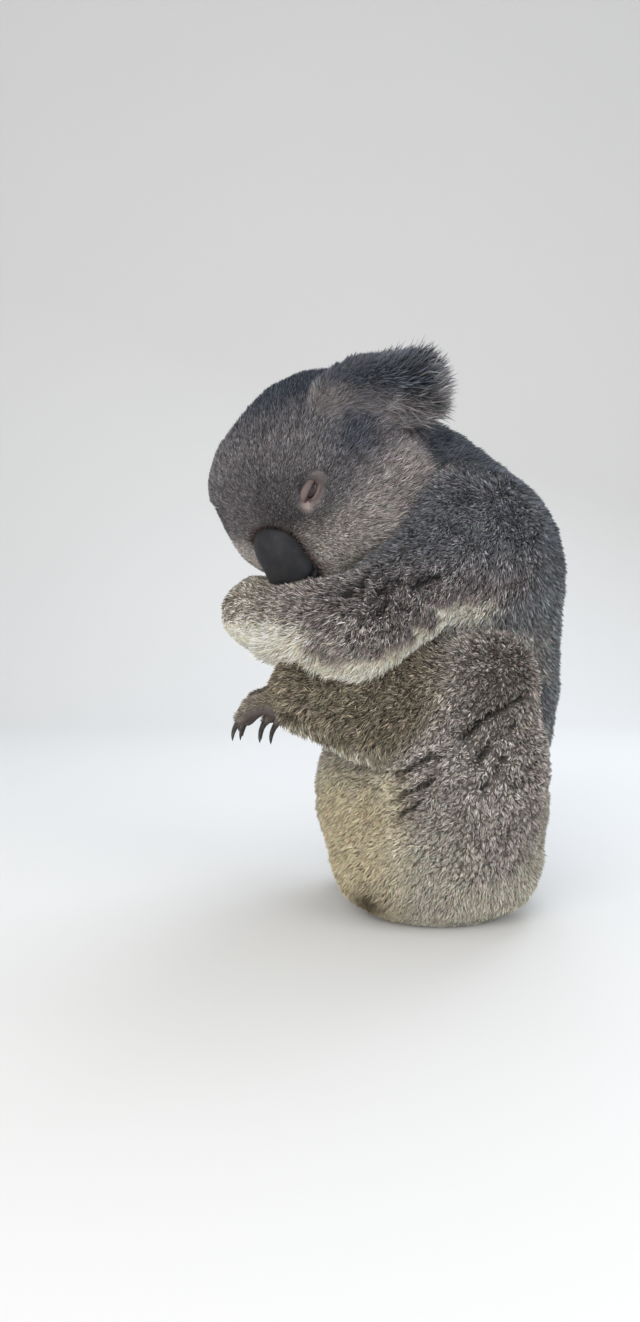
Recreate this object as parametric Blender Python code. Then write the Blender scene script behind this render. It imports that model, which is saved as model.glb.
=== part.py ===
"""A koala asleep sitting up, chin on its folded arms, as named solids.

The animal faces -X with its left side towards -Y and +Z up.  The origin is on
the floor, under the middle of the body.  Lengths are metres.

Every mass is a distance field built from named joints and radii: ellipsoids
for heads and bellies, tapered limbs between joints, joined by smooth unions.
The outline is the outline of the coat, to the tips of the hairs.  Each field
is turned into a closed faceted solid, thinned, and parted from the masses it
touches by a thin gap, so that no two solids overlap.
"""

import math

import bmesh
import bpy
import numpy as np
from mathutils import Matrix, Vector

# ---------------------------------------------------------------- build sizes
GAP = 0.0003            # clearance left between touching masses
FLOOR_SINK = 0.05       # how far the floor cutter reaches below z = 0
MIRROR = {"l": -1.0, "r": 1.0}   # the koala's left side is towards -Y

# ------------------------------------------------------- joints of the skeleton
# (x, outward y, z): the side's sign is applied to y.
HIP = (0.036, 0.056, 0.076)
KNEE = (0.057, 0.083, 0.191)
ANKLE = (-0.074, 0.066, 0.184)
HEEL = (-0.068, 0.060, 0.170)
BALL = (-0.092, 0.034, 0.170)
SHOULDER = (0.050, 0.070, 0.298)
ELBOW = {"l": (-0.040, 0.097, 0.227), "r": (-0.010, 0.112, 0.218)}
WRIST = {"l": (-0.117, 0.021, 0.242), "r": (-0.071, 0.055, 0.222)}
KNUCKLE = {"l": (-0.130, -0.018, 0.252), "r": (-0.072, 0.015, 0.233)}

# ------------------------------------------------------------------- the head
HEAD_CENTRE = Vector((-0.0711, -0.0279, 0.3527))
HEAD_FORWARD = Vector((-0.449, -0.574, -0.684))
HEAD_LEFT = Vector((0.715, -0.690, 0.110))

EYE_AT = (0.0530, 0.0430, 0.0170)     # forward, left, up in the head's own frame
EYE_RADIUS = 0.0088
EAR_RADIUS = 0.040
CLAW_LENGTH = 0.017     # along its curve
CLAW_RADIUS = 0.0026
CLAW_SWEEP = math.radians(62)   # how far a claw's curve turns from root to point

# Heights at which the torso is parted into rump, belly and chest.
TORSO_LEVELS = (("rump", -FLOOR_SINK, 0.115), ("belly", 0.115, 0.225), ("chest", 0.225, 0.6))

COAT_GREY = (0.36, 0.355, 0.36)
COAT_DARK = (0.23, 0.235, 0.26)
COAT_PALE = (0.62, 0.60, 0.56)
NOSE_LEATHER = (0.055, 0.058, 0.066)
EYE_BROWN = (0.05, 0.025, 0.015)
CLAW_BLACK = (0.03, 0.028, 0.026)


def sided(point, side):
    """A joint given as (x, outward y, z) on the named side of the body."""
    return np.array((point[0], point[1] * MIRROR[side], point[2]))


def head_axes():
    """Unit forward, left and up of the head, made square to each other."""
    forward = HEAD_FORWARD.normalized()
    up = forward.cross(HEAD_LEFT).normalized()
    left = up.cross(forward).normalized()
    return np.array((forward, left, up))


HEAD_AXES = head_axes()
HEAD_AT = np.array(HEAD_CENTRE)


def on_head(local):
    """World place of a point given as (forward, left, up) from the head centre."""
    return HEAD_AT + np.asarray(local) @ HEAD_AXES


# ------------------------------------------------------------- distance fields
def ellipsoid(points, centre, radii, axes=None):
    """Signed distance (first order) to an ellipsoid, optionally turned."""
    offset = points - np.asarray(centre)
    if axes is not None:
        offset = offset @ np.asarray(axes).T
    radii = np.asarray(radii)
    near = np.linalg.norm(offset / radii, axis=-1)
    slope = np.linalg.norm(offset / radii**2, axis=-1)
    return near * (near - 1.0) / np.maximum(slope, 1e-9)


def limb(points, start, end, start_radius, end_radius):
    """Signed distance to a tapered round-ended limb between two joints."""
    start, end = np.asarray(start), np.asarray(end)
    along = end - start
    offset = points - start
    share = np.clip(offset @ along / (along @ along), 0.0, 1.0)
    gap = np.linalg.norm(offset - share[..., None] * along, axis=-1)
    return gap - (start_radius + (end_radius - start_radius) * share)


def blend(fields, softness):
    """Smooth union: neighbours flow together over about the softness given."""
    result = fields[0]
    for other in fields[1:]:
        share = np.clip(0.5 + 0.5 * (other - result) / softness, 0.0, 1.0)
        result = other + (result - other) * share - softness * share * (1.0 - share)
    return result


def carve(field, other, softness):
    """Smoothly take one field out of another."""
    return -blend([-field, other], softness)


def torso_field(p):
    """Rump, belly, back and chest of the sitting animal, in one mass."""
    parts = [
        ellipsoid(p, (0.040, 0.0, 0.086), (0.086, 0.092, 0.090)),
        ellipsoid(p, (-0.006, 0.0, 0.092), (0.067, 0.080, 0.082)),
        ellipsoid(p, (0.046, 0.0, 0.185), (0.086, 0.088, 0.105)),
        ellipsoid(p, (0.048, 0.0, 0.272), (0.088, 0.086, 0.096)),
    ]
    for side in MIRROR.values():
        parts.append(ellipsoid(p, (0.026, side * 0.046, 0.040), (0.082, 0.058, 0.052)))
        parts.append(ellipsoid(p, (0.052, side * 0.058, 0.290), (0.056, 0.040, 0.062)))
    return blend(parts, 0.030)


def neck_field(p):
    """The short thick neck, from between the shoulders to the back of the head."""
    return blend(
        [
            ellipsoid(p, (0.018, 0.003, 0.334), (0.058, 0.066, 0.064)),
            ellipsoid(p, (-0.006, -0.004, 0.341), (0.052, 0.062, 0.061)),
        ],
        0.02,
    )


def head_field(p):
    """Broad skull, round brow, full cheeks, short deep muzzle and small chin."""
    q = (p - HEAD_AT) @ HEAD_AXES.T
    parts = [
        ellipsoid(q, (-0.012, 0.0, 0.008), (0.073, 0.075, 0.064)),
        ellipsoid(q, (0.028, 0.0, 0.012), (0.046, 0.054, 0.040)),
        ellipsoid(q, (0.046, 0.0, -0.024), (0.036, 0.040, 0.038)),
        ellipsoid(q, (0.044, 0.0, -0.046), (0.034, 0.032, 0.022)),
    ]
    for side in (-1.0, 1.0):
        parts.append(ellipsoid(q, (0.010, side * 0.042, -0.020), (0.056, 0.045, 0.049)))
        parts.append(ellipsoid(q, (0.000, side * 0.051, -0.022), (0.038, 0.034, 0.040)))
        parts.append(ellipsoid(q, (0.030, side * 0.024, 0.024), (0.040, 0.040, 0.036)))
    face = blend(parts, 0.022)
    for side in (-1.0, 1.0):
        socket = (EYE_AT[0] + 0.0105, side * (EYE_AT[1] + 0.0085), EYE_AT[2] + 0.003)
        face = carve(face, ellipsoid(q, socket, (0.009, 0.012, 0.008)), 0.008)
    return face


def nose_field(p):
    """The tall egg of bare leather, wider at its top than between the nostrils."""
    q = (p - HEAD_AT) @ HEAD_AXES.T
    return blend(
        [
            ellipsoid(q, (0.0700, 0.0, -0.0050), (0.0160, 0.0180, 0.0160)),
            ellipsoid(q, (0.0755, 0.0, -0.0200), (0.0170, 0.0200, 0.0200)),
            ellipsoid(q, (0.0780, 0.0, -0.0360), (0.0150, 0.0225, 0.0140)),
        ],
        0.012,
    )


def ear_frame(side):
    """Centre and axes (opening, out, up) of an ear in the head's own frame."""
    if side == "l":
        centre, facing = Vector((-0.012, 0.070, 0.039)), Vector((0.63, 0.55, -0.065))
    else:
        centre, facing = Vector((-0.051, -0.069, 0.009)), Vector((0.10, -0.95, -0.05))
    facing.normalize()
    up = (Vector((-0.25, 0.0, 1.0)) - facing * facing.dot(Vector((-0.25, 0.0, 1.0)))).normalized()
    out = up.cross(facing)
    return np.array(centre), np.array((facing, out, up))


def ear_field(p, side):
    """A round fluffy dish with a shallow hollow on the side it opens to."""
    q = (p - HEAD_AT) @ HEAD_AXES.T
    centre, axes = ear_frame(side)
    e = (q - centre) @ axes.T
    dish = ellipsoid(e, (0.0, 0.0, 0.0), (0.021, EAR_RADIUS * 1.20, EAR_RADIUS * 0.90))
    root = limb(e, (-0.004, 0.0, 0.0), (centre * (-0.45, -0.40, -0.45)) @ axes.T, 0.022, 0.024)
    hollow = ellipsoid(e, (0.024, 0.006, 0.002), (0.013, EAR_RADIUS * 0.60, EAR_RADIUS * 0.55))
    return carve(blend([dish, root], 0.014), hollow, 0.006)


def thigh_field(p, side):
    """Thigh, upright along the flank, from the hip to the raised knee."""
    hip, knee = sided(HIP, side), sided(KNEE, side)
    bulk = ellipsoid(p, (hip + knee) / 2 + (0.0, 0.0, -0.014), (0.064, 0.046, 0.082))
    return blend([limb(p, hip, knee, 0.058, 0.0385), bulk], 0.020)


def shank_field(p, side):
    """Calf and shin, lying forwards from the knee to the ankle."""
    knee, ankle = sided(KNEE, side), sided(ANKLE, side)
    calf = ellipsoid(
        p, knee * 0.42 + ankle * 0.58 + (0.0, 0.0, -0.012), (0.060, 0.036, 0.046)
    )
    return blend([limb(p, knee, ankle, 0.0345, 0.033), calf], 0.018)


def paw_frame(start, end, back):
    """Origin and axes (along, across, back of the paw) of a hand or foot."""
    along = Vector(end) - Vector(start)
    along.normalize()
    back = Vector(back)
    back = (back - along * back.dot(along)).normalized()
    across = back.cross(along)
    return np.array(start), np.array((along, across, back))


def hand_frame(side):
    """The hand's own frame: knuckles forwards of the wrist, back of hand out."""
    return paw_frame(
        sided(WRIST[side], side), sided(KNUCKLE[side], side), HAND_BACK[side]
    )


def foot_frame(side):
    """The foot's own frame: toes forwards of the heel, instep up."""
    return paw_frame(
        sided(HEEL, side), sided(BALL, side), (0.25, 0.0, 0.95)
    )


# Digits: start and middle joints and tip as (along, across, back), and radius.
# Across is towards the thumb side.  A koala's hand has two thumbs facing
# three fingers; its foot has a clawless great toe and two joined toes.
FINGERS = (
    ((0.018, 0.016, -0.004), (0.026, 0.026, -0.012), (0.034, 0.027, -0.022), 0.0078),
    ((0.032, 0.013, -0.002), (0.047, 0.019, -0.010), (0.057, 0.020, -0.022), 0.0080),
    ((0.036, 0.002, 0.000), (0.055, 0.004, -0.007), (0.068, 0.004, -0.021), 0.0082),
    ((0.034, -0.008, 0.000), (0.052, -0.011, -0.007), (0.064, -0.012, -0.021), 0.0080),
    ((0.030, -0.017, -0.002), (0.045, -0.023, -0.010), (0.055, -0.024, -0.022), 0.0074),
)
TOES = (
    ((0.020, 0.016, -0.006), (0.028, 0.026, -0.012), (0.036, 0.029, -0.018), 0.0092),
    ((0.040, 0.011, -0.002), (0.054, 0.014, -0.007), (0.063, 0.014, -0.018), 0.0062),
    ((0.041, 0.003, -0.001), (0.057, 0.004, -0.006), (0.066, 0.004, -0.018), 0.0062),
    ((0.042, -0.008, 0.000), (0.060, -0.009, -0.005), (0.073, -0.009, -0.018), 0.0084),
    ((0.038, -0.018, -0.002), (0.054, -0.023, -0.008), (0.064, -0.024, -0.019), 0.0080),
)
CLAWED_TOES = range(1, 5)
HAND_CURL = {"l": 0.70, "r": 0.30}
HAND_BACK = {"l": (-0.75, 0.0, 0.60), "r": (-0.60, 0.0, 0.75)}


def paw_flip(side, curl=1.0):
    """Mirrors the digits to the side of the body and sets how far they curl."""
    return np.array((1.0, MIRROR[side], curl))


def digits_field(q, digits, flip):
    """Short thick digits, bent down at their middle joints."""
    fields = []
    for root, middle, tip, radius in digits:
        fields.append(limb(q, root * flip, middle * flip, radius * 1.15, radius))
        fields.append(limb(q, middle * flip, tip * flip, radius, radius * 0.86))
    return fields


def hand_field(p, side):
    """Palm with its five digits."""
    origin, axes = hand_frame(side)
    q = (p - origin) @ axes.T
    palm = ellipsoid(q, (0.020, 0.0, -0.002), (0.032, 0.025, 0.0150))
    return blend([palm] + digits_field(q, FINGERS, paw_flip(side, HAND_CURL[side])), 0.008)


def foot_field(p, side):
    """Broad foot with its heel, sole and five toes."""
    origin, axes = foot_frame(side)
    q = (p - origin) @ axes.T
    sole = ellipsoid(q, (0.022, 0.0, -0.001), (0.040, 0.024, 0.0165))
    heel = ellipsoid(q, (-0.004, 0.0, 0.002), (0.022, 0.020, 0.018))
    return blend([sole, heel] + digits_field(q, TOES, paw_flip(side)), 0.007)


def upper_arm_field(p, side):
    """Upper arm from the shoulder down and forwards to the elbow."""
    shoulder, elbow = sided(SHOULDER, side), sided(ELBOW[side], side)
    muscle = ellipsoid(p, shoulder + (-0.006, 0.0, -0.008), (0.054, 0.042, 0.056))
    return blend([limb(p, shoulder, elbow, 0.043, 0.0365), muscle], 0.018)


def forearm_field(p, side):
    """Forearm from the elbow across the front of the body to the wrist."""
    elbow, wrist = sided(ELBOW[side], side), sided(WRIST[side], side)
    belly = ellipsoid(p, elbow * 0.58 + wrist * 0.42, (0.035, 0.035, 0.034))
    return blend([limb(p, elbow, wrist, 0.032, 0.033), belly], 0.010)


# -------------------------------------------------------------------- meshing
def net_of(field, low, high, step):
    """Vertices and quads of a field's zero surface by averaged cell crossings."""
    axes = [np.arange(a - step, b + 2.0 * step, step) for a, b in zip(low, high)]
    grid = np.stack(np.meshgrid(*axes, indexing="ij"), axis=-1)
    values = field(grid)
    inside = values < 0.0
    corner = np.array([(i, j, k) for i in (0, 1) for j in (0, 1) for k in (0, 1)])
    edges = [(a, b) for a in range(8) for b in range(a + 1, 8)
             if np.abs(corner[a] - corner[b]).sum() == 1]
    shape = np.array(values.shape) - 1

    def at_corner(array, c):
        return array[c[0]:c[0] + shape[0], c[1]:c[1] + shape[1], c[2]:c[2] + shape[2]]

    total = np.zeros(tuple(shape) + (3,))
    count = np.zeros(tuple(shape))
    for a, b in edges:
        va, vb = at_corner(values, corner[a]), at_corner(values, corner[b])
        crossed = (va < 0.0) != (vb < 0.0)
        share = np.where(crossed, va / np.where(crossed, va - vb, 1.0), 0.0)
        place = corner[a] + share[..., None] * (corner[b] - corner[a])
        total += np.where(crossed[..., None], place, 0.0)
        count += crossed
    used = count > 0
    index = np.full(tuple(shape), -1)
    index[used] = np.arange(used.sum())
    cells = np.argwhere(used)
    origin = np.array([axis[0] for axis in axes])
    vertices = origin + step * (cells + total[used] / count[used][:, None])

    quads = []
    for axis in range(3):
        u, v = (axis + 1) % 3, (axis + 2) % 3
        here = inside[1:-1, 1:-1, 1:-1]
        shift = [slice(1, -1)] * 3
        shift[axis] = slice(2, None)
        there = inside[tuple(shift)]
        for leaving in (True, False):
            found = np.argwhere(here & ~there if leaving else ~here & there) + 1
            step_u, step_v = np.eye(3, dtype=int)[u], np.eye(3, dtype=int)[v]
            ring = [found, found - step_u, found - step_u - step_v, found - step_v]
            if not leaving:
                ring.reverse()
            quads.append(np.stack([index[tuple(r.T)] for r in ring], axis=-1))
    return vertices, np.concatenate(quads)


def solid_object(name, vertices, faces):
    """A Blender object of the given closed surface."""
    mesh = bpy.data.meshes.new(name)
    mesh.from_pydata([tuple(v) for v in vertices], [], [tuple(map(int, f)) for f in faces])
    mesh.update()
    obj = bpy.data.objects.new(name, mesh)
    bpy.context.scene.collection.objects.link(obj)
    return obj


def applied(obj):
    """Replace an object's mesh by its modified one and drop the modifiers."""
    graph = bpy.context.evaluated_depsgraph_get()
    mesh = bpy.data.meshes.new_from_object(obj.evaluated_get(graph))
    obj.modifiers.clear()
    obj.data = mesh
    mesh.name = obj.name
    return obj


def keep_largest(obj):
    """Drop everything but the piece with the most volume."""
    work = bmesh.new()
    work.from_mesh(obj.data)
    seen, islands = set(), []
    for start in work.verts:
        if start in seen:
            continue
        stack, island = [start], []
        seen.add(start)
        while stack:
            vertex = stack.pop()
            island.append(vertex)
            for edge in vertex.link_edges:
                other = edge.other_vert(vertex)
                if other not in seen:
                    seen.add(other)
                    stack.append(other)
        islands.append(island)
    islands.sort(key=len, reverse=True)
    for island in islands[1:]:
        bmesh.ops.delete(work, geom=island, context="VERTS")
    work.to_mesh(obj.data)
    work.free()
    return obj


def mass_object(name, field, low, high, step, triangles):
    """A closed solid of a field with about the given count of triangles."""
    vertices, quads = net_of(field, low, high, step)
    obj = solid_object(name, vertices, quads)
    thin = obj.modifiers.new("thin", "DECIMATE")
    thin.ratio = min(1.0, triangles / (2.0 * len(quads)))
    thin.use_collapse_triangulate = True
    return applied(obj)


def grown(obj, distance):
    """A copy of a solid with its surface moved outwards."""
    work = bmesh.new()
    work.from_mesh(obj.data)
    work.normal_update()
    for vertex in work.verts:
        vertex.co += vertex.normal * distance
    mesh = bpy.data.meshes.new(obj.name + "_grown")
    work.to_mesh(mesh)
    work.free()
    copy = bpy.data.objects.new(mesh.name, mesh)
    bpy.context.scene.collection.objects.link(copy)
    return copy


def box_of(obj):
    """Lowest and highest corner of an object's mesh."""
    places = np.array([v.co for v in obj.data.vertices])
    return places.min(axis=0), places.max(axis=0)


def subtract(obj, cutter):
    """Cut one solid by another with an exact Boolean."""
    cut = obj.modifiers.new("cut", "BOOLEAN")
    cut.operation = "DIFFERENCE"
    cut.solver = "EXACT"
    cut.object = cutter
    return applied(obj)


def touches(a, b):
    """True where two objects' boxes overlap."""
    if not a.data.vertices:
        raise RuntimeError(f"{a.name} lies wholly inside its neighbours")
    (a_low, a_high), (b_low, b_high) = box_of(a), box_of(b)
    return bool((a_low <= b_high).all() and (b_low <= a_high).all())


def block(name, low, high):
    """A plain box between two corners."""
    work = bmesh.new()
    bmesh.ops.create_cube(work, size=1.0)
    low, high = Vector(low), Vector(high)
    for vertex in work.verts:
        vertex.co = Vector(
            (low[i] + (vertex.co[i] + 0.5) * (high[i] - low[i]) for i in range(3))
        )
    mesh = bpy.data.meshes.new(name)
    work.to_mesh(mesh)
    work.free()
    obj = bpy.data.objects.new(name, mesh)
    bpy.context.scene.collection.objects.link(obj)
    return obj


def discard(obj):
    """Remove a helper object."""
    bpy.data.objects.remove(obj, do_unlink=True)


def sphere_object(name, centre, radius, rings, segments):
    """A faceted ball."""
    work = bmesh.new()
    bmesh.ops.create_uvsphere(work, u_segments=segments, v_segments=rings, radius=radius)
    bmesh.ops.triangulate(work, faces=work.faces[:])
    bmesh.ops.translate(work, verts=work.verts[:], vec=Vector(centre))
    mesh = bpy.data.meshes.new(name)
    work.to_mesh(mesh)
    work.free()
    obj = bpy.data.objects.new(name, mesh)
    bpy.context.scene.collection.objects.link(obj)
    return obj


def claw_object(name, tip, forward, down):
    """A curved tapering claw that leaves the digit's tip and hooks downwards."""
    rings, sides = 4, 5
    bend = CLAW_LENGTH / CLAW_SWEEP
    across = np.cross(forward, down)

    def spine(share):
        swing = share * CLAW_SWEEP
        return tip + forward * bend * math.sin(swing) + down * bend * (1 - math.cos(swing))

    work = bmesh.new()
    loops = []
    for i in range(rings):
        share = i / rings
        swing = share * CLAW_SWEEP
        tangent = forward * math.cos(swing) + down * math.sin(swing)
        normal = np.cross(across, tangent)
        radius = CLAW_RADIUS * (1.0 - share) ** 0.8
        loops.append([
            work.verts.new(
                spine(share) + across * radius * 0.8 * math.cos(a) + normal * radius * math.sin(a)
            )
            for a in (2 * math.pi * k / sides for k in range(sides))
        ])
    point = work.verts.new(spine(1.0))
    for a, b in zip(loops, loops[1:]):
        for k in range(sides):
            work.faces.new((a[k], a[(k + 1) % sides], b[(k + 1) % sides], b[k]))
    for k in range(sides):
        work.faces.new((loops[-1][k], loops[-1][(k + 1) % sides], point))
    work.faces.new(loops[0][::-1])
    bmesh.ops.triangulate(work, faces=work.faces[:])
    bmesh.ops.recalc_face_normals(work, faces=work.faces[:])
    mesh = bpy.data.meshes.new(name)
    work.to_mesh(mesh)
    work.free()
    obj = bpy.data.objects.new(name, mesh)
    bpy.context.scene.collection.objects.link(obj)
    return obj


def material(name, colour, roughness):
    """A plain Principled finish."""
    made = bpy.data.materials.new(name)
    made.use_nodes = True
    shader = made.node_tree.nodes["Principled BSDF"]
    shader.inputs["Base Color"].default_value = (*colour, 1.0)
    shader.inputs["Roughness"].default_value = roughness
    shader.inputs["Metallic"].default_value = 0.0
    return made


# -------------------------------------------------------------------- assembly
def masses():
    """Every mass in the order in which it keeps its shape against later ones."""
    made = {}

    def add(name, field, centre, reach, step, triangles):
        low, high = np.array(centre) - reach, np.array(centre) + reach
        made[name] = mass_object(name, field, low, high, step, triangles)

    add("torso", torso_field, (0.040, 0.0, 0.190), (0.120, 0.115, 0.215), 0.0045, 950)
    add("neck", neck_field, (0.005, -0.010, 0.343), (0.075, 0.090, 0.075), 0.0045, 200)
    for side in MIRROR:
        hip, knee, ankle = (sided(j, side) for j in (HIP, KNEE, ANKLE))
        shoulder, elbow = sided(SHOULDER, side), sided(ELBOW[side], side)
        wrist, heel = sided(WRIST[side], side), sided(HEEL, side)
        add(f"thigh_{side}", lambda p: thigh_field(p, side), (hip + knee) / 2, 0.130, 0.0045, 270)
        add(f"shank_{side}", lambda p: shank_field(p, side), (knee + ankle) / 2, 0.125, 0.004, 240)
        add(f"foot_{side}", lambda p: foot_field(p, side), heel, 0.098, 0.0022, 320)
        middle = (shoulder + elbow) / 2
        add(f"upper_arm_{side}", lambda p: upper_arm_field(p, side), middle, 0.125, 0.004, 240)
        add(f"forearm_{side}", lambda p: forearm_field(p, side), (elbow + wrist) / 2, 0.110, 0.004, 220)
        add(f"hand_{side}", lambda p: hand_field(p, side), wrist, 0.090, 0.0022, 320)
    add("nose", nose_field, on_head((0.076, 0.0, -0.020)), 0.045, 0.0016, 180)
    add("head", head_field, HEAD_AT, 0.120, 0.0035, 760)
    for side in MIRROR:
        centre, _ = ear_frame(side)
        add(f"ear_{side}", lambda p: ear_field(p, side), on_head(centre), 0.075, 0.0026, 260)
    return made


# What each mass gives way to, besides its own earlier neighbours.
YIELDS = (
    "torso", "neck", "thigh_l", "thigh_r", "shank_l", "shank_r", "foot_l", "foot_r",
    "upper_arm_l", "upper_arm_r", "forearm_l", "forearm_r", "hand_l", "hand_r",
    "nose", "eye_l", "eye_r", "head", "ear_l", "ear_r",
)


def eyes():
    """Both eyeballs, each set deep behind its closed lids."""
    made = {}
    for side, sign in (("l", 1.0), ("r", -1.0)):
        forward, left, up = EYE_AT
        centre = on_head((forward, left * sign, up))
        made[f"eye_{side}"] = sphere_object(f"eye_{side}", centre, EYE_RADIUS, 8, 12)
    return made


def claws():
    """Claws of both hands and feet, by node name."""
    made = {}
    for side in MIRROR:
        for limb_name, frame, digits, clawed, sign in (
            ("hand", hand_frame(side), FINGERS, range(5), paw_flip(side, HAND_CURL[side])),
            ("foot", foot_frame(side), TOES, CLAWED_TOES, paw_flip(side)),
        ):
            origin, axes = frame
            for i in clawed:
                _, middle, tip, radius = digits[i]
                middle, tip = middle * sign, tip * sign
                local = (tip - middle) / np.linalg.norm(tip - middle)
                forward = local @ axes
                down = np.array((-0.35, 0.0, -1.0)) @ axes
                down = down - forward * (down @ forward)
                down = down / np.linalg.norm(down)
                start = origin + (tip + local * radius * 0.35) @ axes
                name = f"claw_{limb_name}_{side}_{i + 1}"
                made[name] = claw_object(name, start, forward, down)
    return made


def part_from(obj, shells, floor):
    """Cut a solid clear of its neighbours' grown shells and of the floor."""
    for shell in shells:
        if touches(obj, shell):
            subtract(obj, shell)
    if box_of(obj)[0][2] < 0.0:
        subtract(obj, floor)
    keep_largest(obj)


def dress(nodes, nails):
    """Give every node its finish and hang it under one empty."""
    grey = material("coat_grey", COAT_GREY, 0.95)
    dark = material("coat_dark", COAT_DARK, 0.95)
    pale = material("coat_pale", COAT_PALE, 0.95)
    leather = material("nose_leather", NOSE_LEATHER, 0.55)
    brown = material("eye_brown", EYE_BROWN, 0.15)
    black = material("claw_black", CLAW_BLACK, 0.35)
    finishes = {
        "nose": leather, "eye_l": brown, "eye_r": brown,
        "ear_l": dark, "ear_r": dark, "neck": dark, "rump": pale,
    }
    root = bpy.data.objects.new("koala", None)
    bpy.context.scene.collection.objects.link(root)
    for name, obj in {**nodes, **nails}.items():
        obj.data.materials.clear()
        obj.data.materials.append(black if name in nails else finishes.get(name, grey))
        obj.parent = root
        obj.matrix_parent_inverse = Matrix.Identity(4)


def build():
    """Make every node of the koala."""
    for obj in list(bpy.data.objects):
        bpy.data.objects.remove(obj, do_unlink=True)
    whole = masses()
    whole.update(eyes())
    nails = claws()
    floor = block("floor_cut", (-1.0, -1.0, -FLOOR_SINK * 4), (1.0, 1.0, 0.0))
    shells = {name: grown(whole[name], GAP) for name in YIELDS}

    for place, name in enumerate(YIELDS):
        part_from(whole[name], [shells[earlier] for earlier in YIELDS[:place]], floor)
    for nail in nails.values():
        part_from(nail, list(shells.values()), floor)

    torso = whole.pop("torso")
    for name, low, high in TORSO_LEVELS:
        piece = torso.copy()
        piece.data = torso.data.copy()
        piece.name = piece.data.name = name
        bpy.context.scene.collection.objects.link(piece)
        above = block("above", (-1.0, -1.0, high - GAP / 2), (1.0, 1.0, 2.0))
        below = block("below", (-1.0, -1.0, -2.0), (1.0, 1.0, low + GAP / 2))
        subtract(piece, above)
        subtract(piece, below)
        keep_largest(piece)
        discard(above)
        discard(below)
        whole[name] = piece
    discard(torso)
    for helper in [floor, *shells.values()]:
        discard(helper)
    dress(whole, nails)


build()
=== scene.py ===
"""Looks of a life-size koala asleep sitting up, with its chin on its folded arms.

One skin, meshed from the same joints and masses as the solids but sunk by the
depth of the coat, carries tens of thousands of fine tufts that follow the lie
of the hair.  Nose, eyeballs, eyelids and claws are pieces of their own.  The
koala faces -X, its left side is towards -Y, the floor is z = 0, and lengths
are metres.
"""

from __future__ import annotations

import logging
import math
from dataclasses import dataclass, field
from enum import Enum
from functools import partial
from typing import Callable, Iterable, Sequence

import bpy
import numpy as np
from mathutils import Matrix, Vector
from mathutils.kdtree import KDTree

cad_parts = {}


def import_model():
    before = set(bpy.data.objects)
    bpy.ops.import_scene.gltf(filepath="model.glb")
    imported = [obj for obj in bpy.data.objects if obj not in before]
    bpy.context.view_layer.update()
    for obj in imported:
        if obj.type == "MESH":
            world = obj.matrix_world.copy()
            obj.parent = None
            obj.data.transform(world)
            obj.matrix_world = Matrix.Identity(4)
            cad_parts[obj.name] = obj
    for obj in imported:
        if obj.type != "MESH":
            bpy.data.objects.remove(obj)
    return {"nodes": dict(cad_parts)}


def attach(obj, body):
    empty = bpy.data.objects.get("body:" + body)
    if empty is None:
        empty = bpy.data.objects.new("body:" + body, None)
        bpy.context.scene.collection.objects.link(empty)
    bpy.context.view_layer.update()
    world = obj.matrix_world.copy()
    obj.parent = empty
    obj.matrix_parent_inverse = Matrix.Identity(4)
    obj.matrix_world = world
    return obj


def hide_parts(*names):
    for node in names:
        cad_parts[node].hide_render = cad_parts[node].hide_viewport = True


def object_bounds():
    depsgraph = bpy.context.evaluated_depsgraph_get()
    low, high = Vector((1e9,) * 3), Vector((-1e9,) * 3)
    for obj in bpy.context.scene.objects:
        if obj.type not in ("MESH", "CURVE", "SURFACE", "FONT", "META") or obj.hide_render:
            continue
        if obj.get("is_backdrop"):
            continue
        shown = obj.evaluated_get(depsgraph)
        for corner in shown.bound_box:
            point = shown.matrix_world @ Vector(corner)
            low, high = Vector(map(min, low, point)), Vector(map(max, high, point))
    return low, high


LOG = logging.getLogger("koala")
Array = np.ndarray
Field = Callable[[Array], Array]
Socket = bpy.types.NodeSocket
Rng = np.random.Generator


# ------------------------------------------------------------ distance fields
def ellipsoid(points: Array, centre: Sequence[float], radii: Sequence[float]) -> Array:
    """Signed distance, to first order, from points to an upright ellipsoid.

    Args:
        points: Places, with x, y, z on the last axis.
        centre: Middle of the ellipsoid.
        radii: Half its size along each axis.

    Returns:
        Distances, negative inside.
    """
    offset = points - np.asarray(centre)
    radii = np.asarray(radii)
    near = np.linalg.norm(offset / radii, axis=-1)
    slope = np.linalg.norm(offset / radii**2, axis=-1)
    return near * (near - 1.0) / np.maximum(slope, 1e-9)


def projected(points: Array, start: Sequence[float], end: Sequence[float]) -> tuple[Array, Array]:
    """Nearest places on a straight stretch.

    Args:
        points: Places, with the axes last.
        start: One end of the stretch.
        end: The other.

    Returns:
        How far along the stretch each nearest place lies, 0 to 1, and the way from it.
    """
    along = np.asarray(end) - np.asarray(start)
    offset = points - np.asarray(start)
    share = np.clip(offset @ along / (along @ along), 0.0, 1.0)
    return share, offset - share[..., None] * along


def limb(points: Array, start: Array, end: Array, start_radius: float, end_radius: float) -> Array:
    """Signed distance to a tapered round-ended limb between two joints.

    Args:
        points: Places, with x, y, z on the last axis.
        start: First joint.
        end: Second joint.
        start_radius: Radius at the first joint.
        end_radius: Radius at the second joint.

    Returns:
        Distances, negative inside.
    """
    share, away = projected(points, start, end)
    return np.linalg.norm(away, axis=-1) - (start_radius + (end_radius - start_radius) * share)


def blend(fields: Sequence[Array], softness: float | Array) -> Array:
    """Smooth union: neighbours flow together over about the softness given."""
    result = fields[0]
    for other in fields[1:]:
        share = np.clip(0.5 + 0.5 * (other - result) / softness, 0.0, 1.0)
        result = other + (result - other) * share - softness * share * (1.0 - share)
    return result


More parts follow.
